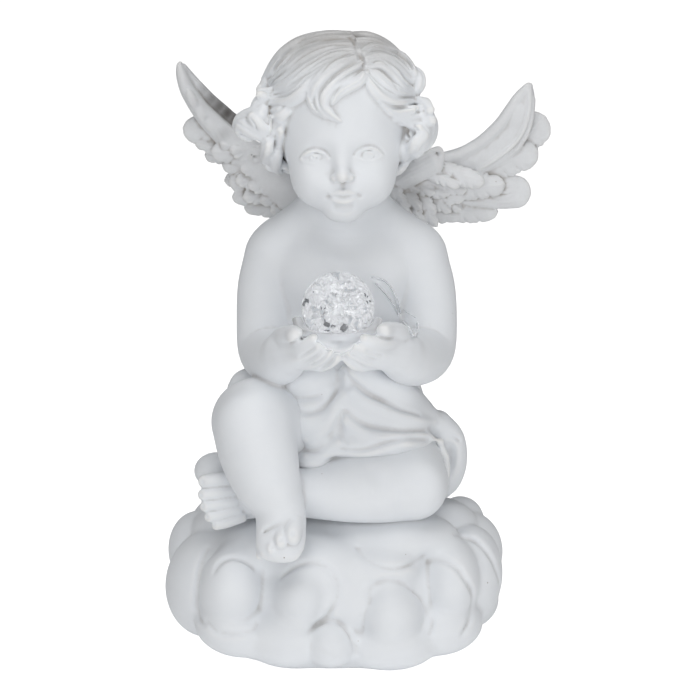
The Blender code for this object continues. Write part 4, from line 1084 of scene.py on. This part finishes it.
def rightWing(material):
    clay = Clay(rightWingSettings["low"], rightWingSettings["high"], rightWingSettings["cell"])
    ribbon(clay, [(0, 26, 168, 9, 4), (-16, 29, 177, 10, 4), (-30, 31, 186, 10, 3.6), (-42, 31.5, 197, 7, 3)],
           facing=(0, -1, 0.1), blend=0)
    feather(clay, [(-42, 32.6, 203, 6, 2.4), (-50, 32.6, 205, 6.2, 2.4), (-57.2, 32.6, 206.2, 5.9, 2)],
            tip=5.6)
    feather(clay, [(-40, 31.6, 197.4, 4, 2), (-49, 31.4, 198.6, 3.6, 2), (-55, 31.2, 200.2, 2.4, 1.7)],
            tip=2.8)
    feather(clay, [(-24, 28.6, 195.6, 5, 2.2), (-36, 28.4, 196.6, 5.2, 2.4), (-46, 28, 197.6, 4.4, 2)], tip=5)
    feather(clay, [(-26, 29.6, 190, 4.4, 2.2), (-36, 29.4, 190.4, 4.6, 2.2), (-43, 29.2, 191.6, 3.2, 1.8)],
            tip=3.6)
    feather(clay, [(-24, 30, 185, 4.8, 2.3), (-32, 29.8, 184.6, 5.2, 2.4), (-39.2, 29.6, 185, 4.8, 2)],
            tip=4.6)
    feather(clay, [(-20, 29.6, 179.4, 4.2, 2.2), (-30, 29.4, 178.2, 4.4, 2.2),
                   (-38.4, 29.2, 178.6, 3.6, 1.9)], tip=4.2)
    feather(clay, [(-14, 29.4, 174.4, 4, 2.1), (-25, 29.2, 173.8, 4.2, 2.1), (-33, 29, 174, 3.2, 1.8)],
            tip=4.6)
    feather(clay, [(-6, 28.4, 173, 4, 2.1), (-14, 28, 171.6, 3.8, 2), (-20, 27.8, 171.8, 3, 1.7)], tip=3.6)
    for x, y, z, size, turn in ((-37.4, 25.4, 198.4, 4.2, 176), (-30, 24.6, 197, 4, 190),
                                (-33.4, 25.4, 191.4, 4, 188),
                                (-26.4, 24.4, 190, 3.8, 196), (-20, 23, 189.4, 3.4, 200),
                                (-36, 26.4, 186, 3.8, 184), (-29.6, 25.4, 184.8, 4.6, 190),
                                (-22.4, 24, 183.4, 4, 200),
                                (-33, 26.4, 179.6, 3.8, 188), (-26, 25.6, 178.6, 3.8, 194),
                                (-18.6, 23.6, 178, 3.8, 205),
                                (-22, 25, 174.6, 3.6, 196), (-15, 23, 173.4, 3.4, 206),
                                (-43, 26.4, 200, 3.2, 160)):
        angle = math.radians(turn)
        dx, dz = size * math.cos(angle), size * math.sin(angle)
        feather(clay, [(x - dx, y + 2, z - dz, size * 0.9, 1.6), (x, y + 0.6, z, size * 1.08, 1.5),
                       (x + dx * 0.5, y + 0.1, z + dz * 0.5, size * 0.92, 1.3)], facing=(-0.15, -1, 0.25),
                tip=size * 0.85)
    rightHorn(clay)
    backFeathers(clay, [(-22, 182, 14, 196), (-30, 188, 15, 186), (-38, 196, 15, 176), (-46, 204, 12, 168),
                        (-14, 176, 13, 206)], depth=35, wide=4.4)
    notches(clay, ([(-38.9, 26, 189.6, 0.3), (-37.8, 25, 188.2, 0.5), (-37.2, 25, 187, 0.3)],
                  [(-42, 27, 186.6, 0.4), (-41, 27, 186.9, 0.5)],
                  [(-33.6, 23, 181.6, 0.3), (-31.4, 23, 182.4, 0.55), (-30, 23.4, 183.4, 0.3)],
                  [(-40.4, 26.6, 179.6, 0.3), (-38.4, 26.4, 180.4, 0.5)],
                  [(-34.4, 24, 196.8, 0.4), (-30.4, 22.6, 195.6, 0.6), (-27.4, 22.4, 194.6, 0.4)],
                  [(-29.4, 24, 176.8, 0.3), (-27.4, 23.4, 178.4, 0.5)]))
    return meshOf("right_wing", clay, rightWingSettings["triangles"], material)


# The drapery: wrapped cloth with swags, pinched creases and a loose end on the child's left.
drapeSettings = {"low": (-46, -52, 54), "high": (60, 44, 126), "cell": 0.55, "triangles": 150000,
                 "foldForward": -1, "foldSize": 1.2}


def drapery(material):
    clay = Clay(drapeSettings["low"], drapeSettings["high"], drapeSettings["cell"])
    egg(clay, (3.4, 9, 87), (39.8, 29, 21.4), blend=0)
    egg(clay, (28, 11, 74), (18.6, 20, 20), blend=5)
    egg(clay, (-25, 1, 97), (17, 19, 16), blend=5)
    egg(clay, (6, -11, 100.5), (18.6, 19.4, 18.6), blend=5)
    egg(clay, (21, -8, 95), (18, 20, 15.6), blend=5)
    egg(clay, (13, -17, 86.6), (25, 15, 8), blend=5)
    # swag under the child's right forearm
    egg(clay, (-10, -16, 112.8), (13.6, 13.4, 9.6), turn=(0, -8, 0), blend=1.2)
    egg(clay, (-9, -17, 97), (13.4, 14.4, 12.6), turn=(0, -14, 0), blend=1.4)
    egg(clay, (-5, -17, 88), (11, 14, 6.4), turn=(0, -18, 0), blend=1.2)
    egg(clay, (-8.6, -18, 80.6), (10, 14, 5.6), blend=3)
    # the roll along the hip
    roll = [(7, -24, 116, 4.4, 5), (16, -22, 112, 5.8, 6), (25, -17.4, 106.2, 6.4, 6.6),
            (32.4, -11, 98.4, 5.8, 6),
            (38.6, -5.6, 92.2, 5.2, 5.4), (43.4, -2, 87.6, 4.6, 4.6)]
    ribbon(clay, roll, away=(4, 8, 92), blend=2.4)
    behind = [(16, -12, 107.6, 5), (24.4, -4, 101.4, 5), (31.4, 3, 94.4, 5), (39, 7, 87.6, 4.4)]
    limb(clay, behind, blend=1)
    looseEnd(clay)
    # the child's right swag and the pouches below it
    groove(clay, [(-20.4, 107.6, 0.7), (-15.6, 104.2, 1.2), (-10.5, 102.7, 1.4), (-5, 104, 1.5),
                  (-1.2, 107.6, 1.4),
                  (1.2, 113, 1.3), (2.4, 118.4, 1.0)], blend=1.8)
    ridge(clay, [(-17, 107.6, 0.8), (-10.5, 105.6, 1.5), (-5.4, 107.2, 1.5), (-2.4, 111, 1.1)], blend=3)
    ridge(clay, [(3.8, 109, 1.2), (0.2, 103.8, 1.7), (-2.4, 98.5, 1.9), (-5.4, 94, 1.8), (-10.6, 91.6, 1.2)],
          blend=3)
    groove(clay, [(-13.6, 88.4, 0.9), (-11, 86.4, 1.3), (-7.2, 86.6, 1.4), (-2.9, 89.3, 1.2),
                  (-1.2, 92, 0.6)], blend=1.8)
    ridge(clay, [(-11, 84.2, 0.8), (-5.5, 83.9, 1.4), (-1.2, 87, 1.5), (2.4, 90.6, 1.1)], blend=2.2)
    groove(clay, [(3.6, 102.8, 0.4), (2.4, 99.2, 1.2), (2.2, 95, 1.4), (3.6, 91.2, 0.9), (4.6, 89.4, 0.3)],
           blend=2)
    # long folds over the child's left thigh
    groove(clay, [(3.9, 118.6, 0.5), (7.6, 114.2, 0.9), (12.2, 110, 1.1), (18.6, 106.4, 1.1),
                  (25.8, 103, 0.9),
                  (33.5, 100.8, 0.4)], blend=2.2)
    ridge(clay, [(8, 110.8, 0.7), (12.2, 107.2, 1.2), (18.4, 104.2, 1.4), (25.6, 101.2, 1.3), (33.5, 99, 0.9),
                 (39, 98.4, 0.5)], blend=2.6)
    groove(clay, [(4.8, 102.6, 0.3), (8.4, 99.4, 0.8), (13, 96.6, 1.1), (19.5, 95.2, 1.1), (28, 94.4, 0.7),
                  (36, 94.4, 0.3)], blend=2.4)
    ridge(clay, [(5.2, 99, 0.8), (8.8, 95.8, 1.4), (13.4, 93.2, 1.6), (20, 92, 1.6), (29, 91.8, 1.3),
                 (37, 92, 0.9),
                 (42.4, 90.4, 0.4)], blend=3)
    groove(clay, [(3.5, 87, 0.6), (9.9, 86.8, 0.9), (16, 88.2, 1.1), (22.7, 90.2, 1.1), (29.1, 91.4, 0.9),
                  (38, 91, 0.7)], blend=2)
    # the hem lies on the thigh as a thin lip
    ridge(clay, [(-3, 84.8, 0.6), (4, 86, 0.8), (9.4, 85.2, 0.8), (14, 85.4, 0.9), (18.6, 86.8, 1.1),
                 (24, 88.6, 1.2), (31, 89.2, 1.2), (37.4, 88.4, 1), (42, 86.4, 0.6), (45, 83.6, 0.3)],
                 blend=1.8)
    forward, swell = drapeSettings["foldForward"], drapeSettings["foldSize"]
    for rows in backFolds():
        limb(clay, [(x, y + forward, z, size * swell) for x, y, z, size in rows], blend=4.5)
    return meshOf("drapery", clay, drapeSettings["triangles"], material, soften=2)


def looseEnd(clay):
    # the cloth's end turns in beside the knee and leaves a smooth hollow with a rolled rim
    flap = [(42, -2, 89, 6.4), (46, 0, 82, 7.6), (46.9, 1, 73, 7.7), (46.2, 1, 66, 6.3), (45, 0, 61.4, 3.8)]
    limb(clay, flap, blend=1.6)
    egg(clay, (46.6, -11, 74.6), (4.6, 7, 9.6), turn=(0, 8, 0), blend=2.0, cut=True)
    limb(clay, [(40.6, -12, 87.6, 0.8), (44.4, -10.4, 87.2, 1.5), (48.4, -7.6, 85.8, 1.2),
                (51, -5, 83.4, 0.6)],
         blend=1.2, cut=True)
    limb(clay, [(42.6, -11.4, 84.4, 1.2), (45, -10.4, 78, 1.5), (45.8, -9.4, 71, 1.4),
                (44.6, -9, 64.6, 1.1)], blend=1)


def backFolds():
    # broad soft folds round the back of the hips
    return [
        [(45, 4, 84, 2.4), (38, 27, 88, 3), (20, 37, 92, 3), (0, 38.4, 96, 2.8), (-18, 34, 101, 2.2)],
        [(46, 12, 74, 2.2), (36, 31, 76, 3), (16, 38.4, 79, 3), (-6, 37.6, 84, 2.8), (-24, 28, 92, 2.4),
         (-36, 14, 98, 1.8)],
        [(-38, 6, 88, 2), (-32, 20, 82, 2.6), (-16, 32.6, 75, 2.8), (4, 36.8, 70, 2.6), (26, 32, 66, 2.2)],
        [(-36, 4, 104, 2.2), (-30, 14, 107, 2.6), (-14, 25, 107.6, 2.6), (6, 29, 106, 2.4),
         (26, 24, 104, 2.2)],
        [(-39, 4, 103, 4), (-37, 2, 107, 3.6), (-30, 4, 109, 3)],
    ]


# The cloud: a dome with rounded lobes that press against each other.
cloudSettings = {"low": (-76, -70, -3), "high": (76, 70, 88), "cell": 0.85, "triangles": 120000, "seed": 8}


def cloud(material):
    clay = Clay(cloudSettings["low"], cloudSettings["high"], cloudSettings["cell"])
    egg(clay, (0, 0, 26), (60, 54, 31.6), blend=0)
    egg(clay, (0, 0, 8), (57, 51, 19), blend=6)
    for centre, radii, turn, blend in cloudLobes() + backLobes():
        egg(clay, centre, radii, turn=turn, blend=blend)
    seat = [((0, 4, 47), (44, 36, 13)), ((24, -22, 48), (26, 18, 10)), ((-24, -24, 44), (24, 20, 12)),
            ((-6, -38, 42), (17, 12, 9)), ((20, -40, 40), (13, 9.5, 7))]
    for centre, radii in seat:
        egg(clay, centre, radii, blend=5)
    # a puff that rises behind the child's left foot
    limb(clay, [(-38, -2, 50, 14), (-42.4, -7, 62, 11)], blend=6)
    egg(clay, (-48, -14, 73.2), (9, 10.5, 7.2), blend=4)
    # pressed crescents where one lobe rolls over the next
    for line in cloudCreases():
        groove(clay, line, blend=2, plane=-48, lift=-0.1)
    # the flat underside
    level = np.arange(clay.size[2], dtype=np.float32) * clay.cell + clay.low[2]
    clay.field = np.maximum(clay.field, (0.05 - level)[None, None, :])
    return meshOf("cloud", clay, cloudSettings["triangles"], material, soften=2)


def cloudLobes():
    # centre, radii, turn and blend; the smaller the blend, the sharper the crease
    return [
        ((-50.5, -19, 27), (18.5, 23, 22), (0, 8, 0), 2.4),
        ((-41, -39.6, 31.5), (13, 17.4, 16), (0, 4, 0), 0.9),
        ((-39, -41, 15.5), (17, 16, 11), (0, 12, 0), 2.2),
        ((-13, -42, 30), (12.4, 16.6, 13), (0, -10, 0), 2),
        ((-18, -42, 14), (20, 18.4, 13.6), (0, 0, 0), 3.4),
        ((-1.5, -46, 13), (11.6, 16.6, 11), (0, 8, 0), 1.2),
        ((22.4, -40, 22.5), (13.6, 19.6, 15), (0, 8, 0), 0.9),
        ((22, -42, 10), (20, 17, 10.6), (0, 0, 0), 3),
        ((46.4, -27, 30.4), (12.6, 19, 17.4), (0, 8, 0), 0.9),
        ((42, -32, 14), (18, 18, 12), (0, -6, 0), 3),
        ((54.4, -12, 27), (14.4, 21, 21.6), (0, 8, 0), 1.8),
        ((55, 10, 31), (15.4, 17, 17.4), (0, 6, 0), 1.6),
        ((46, 4, 46), (14, 15, 9.6), (0, 16, 0), 1.6),
        ((53, 20, 42), (10, 12, 10), (0, 10, 0), 1.6),
        ((-56.6, 6, 33), (13, 17, 16.6), (0, -6, 0), 1.6),
        ((-48.4, 16, 45), (12, 13, 8.6), (0, -16, 0), 1.6),
        ((-46, -4, 47), (13, 15, 8), (0, -10, 0), 1.8),
        ((-53, 8, 14), (15.6, 22, 12.6), (0, 0, 0), 3),
        ((53, 4, 13), (15.6, 22, 12), (0, 0, 0), 3),
    ]


def backLobes():
    draw = random.Random(cloudSettings["seed"])
    lobes = []
    for index in range(7):
        angle = math.radians(24 + 22 * index)
        x, y = 51 * math.cos(angle), 43.6 * math.sin(angle)
        size = draw.uniform(14.6, 17.4)
        lobes.append(((x, y, 29 + draw.uniform(-3, 4)), (size, size, size * draw.uniform(0.95, 1.15)),
                      (0, 0, 0), 1.8))
        x, y = 42 * math.cos(angle + 0.2), 37 * math.sin(angle + 0.2)
        lobes.append(((x, y, 13), (18, 18, 11.6), (0, 0, 0), 3))
        x, y = 38 * math.cos(angle + 0.2), 31 * math.sin(angle + 0.2)
        lobes.append(((x, y, 44 + draw.uniform(-2, 2)), (15, 14, 10.6), (0, 0, 0), 2))
    return lobes


def cloudCreases():
    # x, z and size, laid on from the front
    return [
        [(-50.5, 20.3, 0.4), (-47.7, 17.3, 1.0), (-44.6, 15.7, 1.2), (-38.2, 15.7, 1.1), (-32.6, 16.9, 0.8),
         (-31.0, 19.4, 0.4)],
        [(-47.4, 41.0, 0.3), (-45.0, 44.7, 0.9), (-41.0, 46.8, 1.1), (-35.9, 46.0, 1.0), (-32.0, 42.7, 0.4)],
        [(-20.6, 39.0, 0.3), (-15.4, 43.1, 0.6), (-8.7, 44.7, 0.8), (-2.4, 42.7, 0.8), (1.2, 36.9, 0.8),
         (0.8, 29.4, 0.7), (-4.0, 21.1, 0.7), (-9.6, 16.1, 0.3)],
        [(-10.4, 15.7, 0.3), (-6.4, 19.4, 0.7), (-0.8, 21.1, 0.8), (3.5, 18.6, 0.8), (7.1, 12.7, 0.7),
         (9.5, 6.9, 0.3)],
        [(13.8, 28.6, 0.4), (14.2, 33.6, 0.9), (17.0, 36.1, 1.0), (22.1, 37.3, 0.9), (27.7, 36.1, 0.7),
         (31.6, 32.7, 0.3)],
        [(31.6, 32.7, 0.3), (35.6, 28.2, 0.7), (38.8, 21.1, 0.8), (38.1, 15.3, 0.4)],
        [(37.1, 45.2, 0.4), (41.8, 46.0, 0.8), (47.7, 43.5, 0.9), (52.6, 36.9, 0.9), (55.0, 29.4, 0.9),
         (53.9, 21.9, 0.8), (50.8, 15.3, 0.4)],
        [(47.6, 56.3, 0.2), (51.6, 55.4, 0.8), (59.1, 50.9, 0.9), (64.4, 41.4, 0.8), (65.7, 32.7, 0.4)],
        [(-49.7, 50.9, 0.4), (-52.5, 43.9, 0.9), (-54.2, 33.6, 1.0), (-54.4, 24.4, 0.9), (-51.7, 19.0, 0.4)],
        [(9.5, 50.9, 0.3), (12.6, 46.8, 0.5), (18.9, 43.1, 0.6), (26.0, 42.7, 0.6), (32.3, 45.2, 0.5),
         (35.5, 47.6, 0.3)],
    ]


# The ball: a clear sphere with crackle flakes sealed inside it.
ballSettings = {"flakes": 700, "seed": 21, "inner": 0.965, "clearSpot": (-3.0, -11.0, 6.6), "clearReach": 4.6}


def ballPlace():
    low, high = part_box("crystal_ball")
    middle = [(a + b) / 2 / unit for a, b in zip(low, high)]
    return (*middle, (high[2] - low[2]) / 2 / unit)


def glueRadius():
    low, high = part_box("clear_glue_seat")
    return (high[0] - low[0]) / 2 / unit


def plainPiece(name, mesh, material):
    piece = bpy.data.objects.new(name, mesh)
    bpy.context.scene.collection.objects.link(piece)
    mesh.shade_smooth()
    mesh.materials.append(material)
    print(name, "has", len(mesh.polygons), "faces")
    return piece


def glassBall():
    x, y, z, radius = ballPlace()
    shape = bmesh.new()
    bmesh.ops.create_icosphere(shape, subdivisions=5, radius=radius * unit)
    bmesh.ops.translate(shape, verts=shape.verts, vec=Vector((x, y, z)) * unit)
    mesh = bpy.data.meshes.new("glass_ball")
    shape.to_mesh(mesh)
    shape.free()
    return plainPiece("glass_ball", mesh, glassMaterial())


def crackle():
    # thin curved flakes at random, each a closed little wafer
    draw = random.Random(ballSettings["seed"])
    x, y, z, radius = ballPlace()
    reach = radius * ballSettings["inner"]
    points, faces, tones = [], [], []
    for _ in range(ballSettings["flakes"]):
        size = draw.uniform(0.4, 1.9)
        while True:
            spot = Vector([draw.uniform(-1, 1) for _ in range(3)]) * (reach - size)
            clear = (spot - Vector(ballSettings["clearSpot"])).length < ballSettings["clearReach"]
            if spot.length < reach - size and not clear:
                break
        turn = Euler([draw.uniform(0, 2 * math.pi) for _ in range(3)]).to_matrix()
        tone = draw.choice((0.1, 0.7, 0.85, 0.9, 0.95) + (1.0,) * 12)
        sides = draw.randint(5, 8)
        bow = draw.uniform(-0.25, 0.25) * size
        first = len(points)
        corners = []
        for side in range(sides):
            angle = 2 * math.pi * (side + draw.uniform(-0.3, 0.3)) / sides
            long = size * draw.uniform(0.55, 1.0)
            corners.append(Vector((long * math.cos(angle), long * math.sin(angle), 0)))
        for half in (0.04, -0.04):
            points.append(spot + turn @ Vector((0, 0, bow + half)))
            points.extend(spot + turn @ (corner + Vector((0, 0, half * 0.5))) for corner in corners)
        tones.extend([tone] * (2 * sides + 2))
        for side in range(sides):
            a, b = 1 + side, 1 + (side + 1) % sides
            c, d = a + sides + 1, b + sides + 1
            faces.append((first, first + a, first + b))
            faces.append((first + sides + 1, first + d, first + c))
            faces.append((first + a, first + c, first + d, first + b))
    mesh = bpy.data.meshes.new("crackle")
    centre = Vector((x, y, z))
    mesh.from_pydata([(point + centre) * unit for point in points], [], faces)
    shade = mesh.attributes.new("tone", "FLOAT", "POINT")
    shade.data.foreach_set("value", tones)
    return plainPiece("crackle", mesh, flakeMaterial())


# The glue: a smooth milky pool under the ball, its film in front, and a few pulled strings.
glueSettings = {"low": (-24, -64, 124), "high": (42, -16, 156), "cell": 0.42, "triangles": 90000}
stringSettings = {"low": (6, -50, 124), "high": (42, -8, 164), "cell": 0.26, "band": 2.0, "triangles": 30000,
                  "plane": -38.0}


def gluePool():
    clay = Clay(glueSettings["low"], glueSettings["high"], glueSettings["cell"])
    x, y, z, radius = ballPlace()
    wide = glueRadius() - 0.35
    egg(clay, (x, y, z + 3), (wide, wide, radius + 4.8), blend=0)
    level = np.arange(clay.size[2], dtype=np.float32) * clay.cell + clay.low[2]
    clay.field = np.maximum(clay.field, (level - (z - radius + 6.4))[None, None, :])
    egg(clay, (x + 0.6, y - 8.6, z - radius + 2.4), (8, 7, 4.6), blend=3)
    film = [(x - 16, y + 1, z - 4.4, 2.0, 1.0), (x - 13.4, y - 6, z - 7.6, 3, 1.3),
            (x - 8, y - 10.4, z - 9.4, 3.4, 1.5),
            (x, y - 12.2, z - 10.2, 3.6, 1.7), (x + 8, y - 10.6, z - 9, 3.4, 1.5),
            (x + 13, y - 6.4, z - 7, 3, 1.3),
            (x + 15.4, y + 1, z - 4.8, 2, 1.0)]
    ribbon(clay, film, facing=(0, -0.45, 1), blend=2.2)
    egg(clay, (x, y, z), (radius + 0.15, radius + 0.15, radius + 0.15), blend=0.3, cut=True)
    return meshOf("glue_pool", clay, glueSettings["triangles"], glue, soften=3)


def glueStrings():
    # strings of glue pulled over the belly and one drip on the forearm
    clay = Clay(stringSettings["low"], stringSettings["high"], stringSettings["cell"], stringSettings["band"])
    body = parts["child_body"]
    for line, lift in (([(14.8, 157.6, 0.42), (20.2, 155.8, 0.4), (23.9, 150.4, 0.36), (26.2, 143.4, 0.5)],
                        2.0),
                       ([(16.4, 155, 0.36), (20.2, 151, 0.34), (24, 145.6, 0.3), (25.4, 142.6, 0.4)], 1.6),
                       ([(26.4, 145.2, 0.26), (29.2, 143.2, 0.24), (31.8, 141.6, 0.24)], 0.2),
                       ([(27, 140, 0.6), (29.2, 137.6, 0.7), (31.2, 134.6, 0.85), (32.6, 136.8, 0.6),
                         (32.6, 139.4, 0.4)],
                        0.3)):
        limb(clay, laidOn(body, line, stringSettings["plane"], lift), blend=0.2)
    return meshOf("glue_strings", clay, stringSettings["triangles"], glue, soften=2, every=True)


glue = glueMaterial()


# Dust, worn paint and painted light: where the clay folds in, between pieces and next to the floor, a dust
# tint and painted shade gather; where it stands out, the paint is lighter as worn paint and painted
# highlight; a few spots get dark painted shadow.
shadeAndWearSettings = {"low": (-80.0, -75.0, -6.0), "high": (98.0, 75.0, 258.0), "cell": 1.15, "broad": 2.6,
                "fine": 1.0, "edge": 0.8, "wingDarkening": 0.26, "crownShade": 0.6}
# painted shadow on the shaded back of the right horn and in a few hollows of the wings and hair: centre,
# radius and strength
paintedShadeSpots = [((-54.4, 33.4, 222), 3.2, 0.4), ((-51, 33.6, 218.2), 4.2, 0.7),
          ((-48, 33.8, 215.2), 4.8, 0.9), ((-45, 34, 212.4), 5.2, 1.0), ((-42, 34.4, 209.8), 5.4, 1.0),
          ((-38.4, 34.6, 206.6), 5.4, 1.0), ((33, 20, 181), 6, 0.35), ((77.6, 29, 201.6), 1.0, 0.5),
          ((36, -9, 220.5), 1.6, 0.75),
          ((-46, 27, 205), 3, 0.3)]


def blurred(block, spread):
    reach = max(1, int(math.ceil(spread * 2.5)))
    weights = np.exp(-0.5 * (np.arange(-reach, reach + 1) / spread) ** 2)
    weights /= weights.sum()
    for axis in range(3):
        padded = np.pad(block, [(reach, reach) if index == axis else (0, 0) for index in range(3)],
                        mode="edge")
        total = np.zeros_like(block)
        for index, weight in enumerate(weights):
            span = [slice(None)] * 3
            span[axis] = slice(index, index + block.shape[axis])
            total += weight.astype(np.float32) * padded[tuple(span)]
        block = total
    return block


def sampled(block, low, cell, spots):
    places = (spots - low) / cell
    places = np.clip(places, 0, np.array(block.shape) - 1.001)
    base = np.floor(places).astype(int)
    share = places - base
    total = np.zeros(len(spots))
    for dx in (0, 1):
        for dy in (0, 1):
            for dz in (0, 1):
                weight = (np.abs(1 - dx - share[:, 0]) * np.abs(1 - dy - share[:, 1])
                          * np.abs(1 - dz - share[:, 2]))
                total += weight * block[base[:, 0] + dx, base[:, 1] + dy, base[:, 2] + dz]
    return total


def filled(clay):
    # how much of each cell is inside, with a soft edge
    return np.clip(0.5 - clay.field / (2 * shadeAndWearSettings["edge"]), 0, 1).astype(np.float32)


def addShadeAndWear(pieces):
    cell = shadeAndWearSettings["cell"] * coarse
    low = np.array(shadeAndWearSettings["low"])
    size = np.ceil((np.array(shadeAndWearSettings["high"]) - low) / cell).astype(int)
    whole = np.zeros(size, np.float32)
    # the floor counts as solid, so painted shade also gathers next to it
    whole[:, :, : int((0 - low[2]) / cell)] = 1
    for name in parts:
        if name.startswith("glue"):
            continue
        clay = parts[name]
        first = np.maximum(np.ceil((clay.low - low) / cell).astype(int), 0)
        last = np.minimum(np.floor((clay.low + (clay.size - 1) * clay.cell - low) / cell).astype(int), size)
        axes = [np.round((np.arange(a, b) * cell + start - own) / clay.cell).astype(int)
                for a, b, start, own in zip(first, last, low, clay.low)]
        patch = filled(clay)[np.ix_(*axes)]
        spans = tuple(slice(a, b) for a, b in zip(first, last))
        whole[spans] = np.maximum(whole[spans], patch)
    whole = blurred(whole, shadeAndWearSettings["broad"] / cell)
    for piece in pieces:
        clay = parts[piece.name]
        mesh = piece.data
        spots = np.empty(len(mesh.vertices) * 3)
        mesh.vertices.foreach_get("co", spots)
        spots = spots.reshape(-1, 3) / unit
        close = sampled(blurred(filled(clay), shadeAndWearSettings["fine"] / clay.cell), clay.low, clay.cell, spots)
        wide = sampled(whole, low, cell, spots)
        # fine creases get a dust tint and painted shade; broad hollows, gaps between pieces and places next
        # to the floor get painted shade
        hollow = np.clip((close - 0.53) * 5.0, 0, 1) * 0.75 + np.clip((wide - 0.66) * 2.6, 0, 1) * 0.6
        # the wings are darker all over and deeper in their creases
        if "wing" in piece.name:
            hollow = hollow * 1.4 + shadeAndWearSettings["wingDarkening"]
        # painted shade: the hair darker towards the top of the head
        if piece.name == "head":
            hollow += shadeAndWearSettings["crownShade"] * np.clip((spots[:, 2] - 232) / 14, 0, 1)
        # lighter paint on the ridges: worn paint and painted highlight
        rubbedAndHighlight = np.clip((0.47 - close) * 5.0, 0, 1) * np.clip(1 - hollow * 2, 0, 1)
        # dark painted shadow spots on the back of the horn and in a few hollows
        dark = np.zeros(len(spots))
        for centre, reach, strength in paintedShadeSpots:
            away = np.linalg.norm(spots - np.array(centre), axis=1)
            dark = np.maximum(dark, strength * np.clip(1.3 - away / reach, 0, 1))
        values = np.stack([np.clip(hollow, 0, 1), rubbedAndHighlight, dark, np.ones(len(spots))], axis=1)
        wearAndShade = mesh.color_attributes.new("wearAndShade", "FLOAT_COLOR", "POINT")
        wearAndShade.data.foreach_set("color", values.astype(np.float32).ravel())
    print("wear is on", len(pieces), "pieces")


# Build every piece, then let it ride on the frame.
resinPieces = [cloud(resin), childBody(resin), drapery(resin), head(resin), leftWing(resin), rightWing(resin)]
gluePieces = [gluePool(), glueStrings()]
addShadeAndWear(resinPieces)
ballPieces = [glassBall(), crackle()]
for pieces, node, slotName in ((resinPieces, "angel_casting", "white_resin"),
                               (ballPieces, "crystal_ball", "crackle_glass"),
                               (gluePieces, "clear_glue_seat", "clear_glue")):
    for piece in pieces:
        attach(piece, "root")
        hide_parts(node)


# A pale floor, a dim white surround, soft lights from the front and the camera of the photo.
stageSettings = {
    "surround": 0.22, "paper": 0.9, "cast": 0.16, "floorReach": 40, "floorGrain": 60, "floorRoughness": 0.9,
    "floorDark": (0.93, 0.935, 0.94), "floorLight": (0.95, 0.95, 0.95), "lightsAim": (0.0, 0.0, 0.12),
    "camera": {"lens": 119.8, "sensor": 36, "tilt": 12.5, "target": (0.0063, 0, 0.1202), "away": 0.95},
    # place, width, height and power of each soft light
    "lights": {"key": ((-0.38, -1.0, 0.3), 0.7, 0.7, 1.95), "high": ((0, -1.0, 0.5), 0.8, 0.3, 0.9),
               "fill": ((0.7, -0.9, 0.12), 0.8, 0.24, 2.15), "top": ((0, -0.3, 1.1), 0.7, 0.7, 4.2)},
}


def floorPiece():
    mesh = bpy.data.meshes.new("floor")
    reach = stageSettings["floorReach"]
    corners = [(-reach, -reach, 0), (reach, -reach, 0), (reach, reach, 0), (-reach, reach, 0)]
    mesh.from_pydata(corners, [], [(0, 1, 2, 3)])
    material, tree, shader, place = materialBase("pale_floor")
    surface = useGroup(tree, grain, place, stageSettings["floorGrain"])
    paper = blendColours(tree, surface["Mottle"], stageSettings["floorDark"], stageSettings["floorLight"])
    tree.links.new(paper, shader.inputs["Base Color"])
    shader.inputs["Roughness"].default_value = stageSettings["floorRoughness"]
    # white paper to the eye, which lights the figure from below only a little
    seen = tree.nodes.new("ShaderNodeLightPath").outputs["Is Camera Ray"]
    cast = (stageSettings["cast"],) * 3
    tree.links.new(blendColours(tree, seen, cast, (1.0, 1.0, 1.0)), shader.inputs["Emission Color"])
    shader.inputs["Emission Strength"].default_value = stageSettings["paper"]
    piece = bpy.data.objects.new("floor", mesh)
    bpy.context.scene.collection.objects.link(piece)
    mesh.materials.append(material)


def softLight(name, place, wide, tall, power):
    light = bpy.data.lights.new(name, "AREA")
    light.shape = "RECTANGLE"
    light.size = wide
    light.size_y = tall
    light.energy = power
    lamp = bpy.data.objects.new(name, light)
    lamp.location = place
    lamp.rotation_euler = (Vector(stageSettings["lightsAim"]) - Vector(place)).to_track_quat("-Z",
                                                                                             "Y").to_euler()
    bpy.context.scene.collection.objects.link(lamp)


def surround():
    world = bpy.data.worlds.new("surround")
    world.use_nodes = True
    back = world.node_tree.nodes["Background"]
    back.inputs["Color"].default_value = (1, 1, 1, 1)
    back.inputs["Strength"].default_value = stageSettings["surround"]
    bpy.context.scene.world = world


def photoCamera():
    camera = bpy.data.cameras.new("camera")
    settings = stageSettings["camera"]
    camera.lens = settings["lens"]
    camera.sensor_width = settings["sensor"]
    camera.dof.use_dof = False
    holder = bpy.data.objects.new("camera", camera)
    tilt = math.radians(settings["tilt"])
    target = Vector(settings["target"])
    holder.location = target + Vector((0, -math.cos(tilt), math.sin(tilt))) * settings["away"]
    holder.rotation_euler = (target - holder.location).to_track_quat("-Z", "Y").to_euler()
    bpy.context.scene.collection.objects.link(holder)
    bpy.context.scene.camera = holder


floorPiece()
surround()
for name, given in stageSettings["lights"].items():
    softLight(name, *given)
photoCamera()
bpy.context.scene.view_settings.view_transform = "Standard"

print("the scene is set")
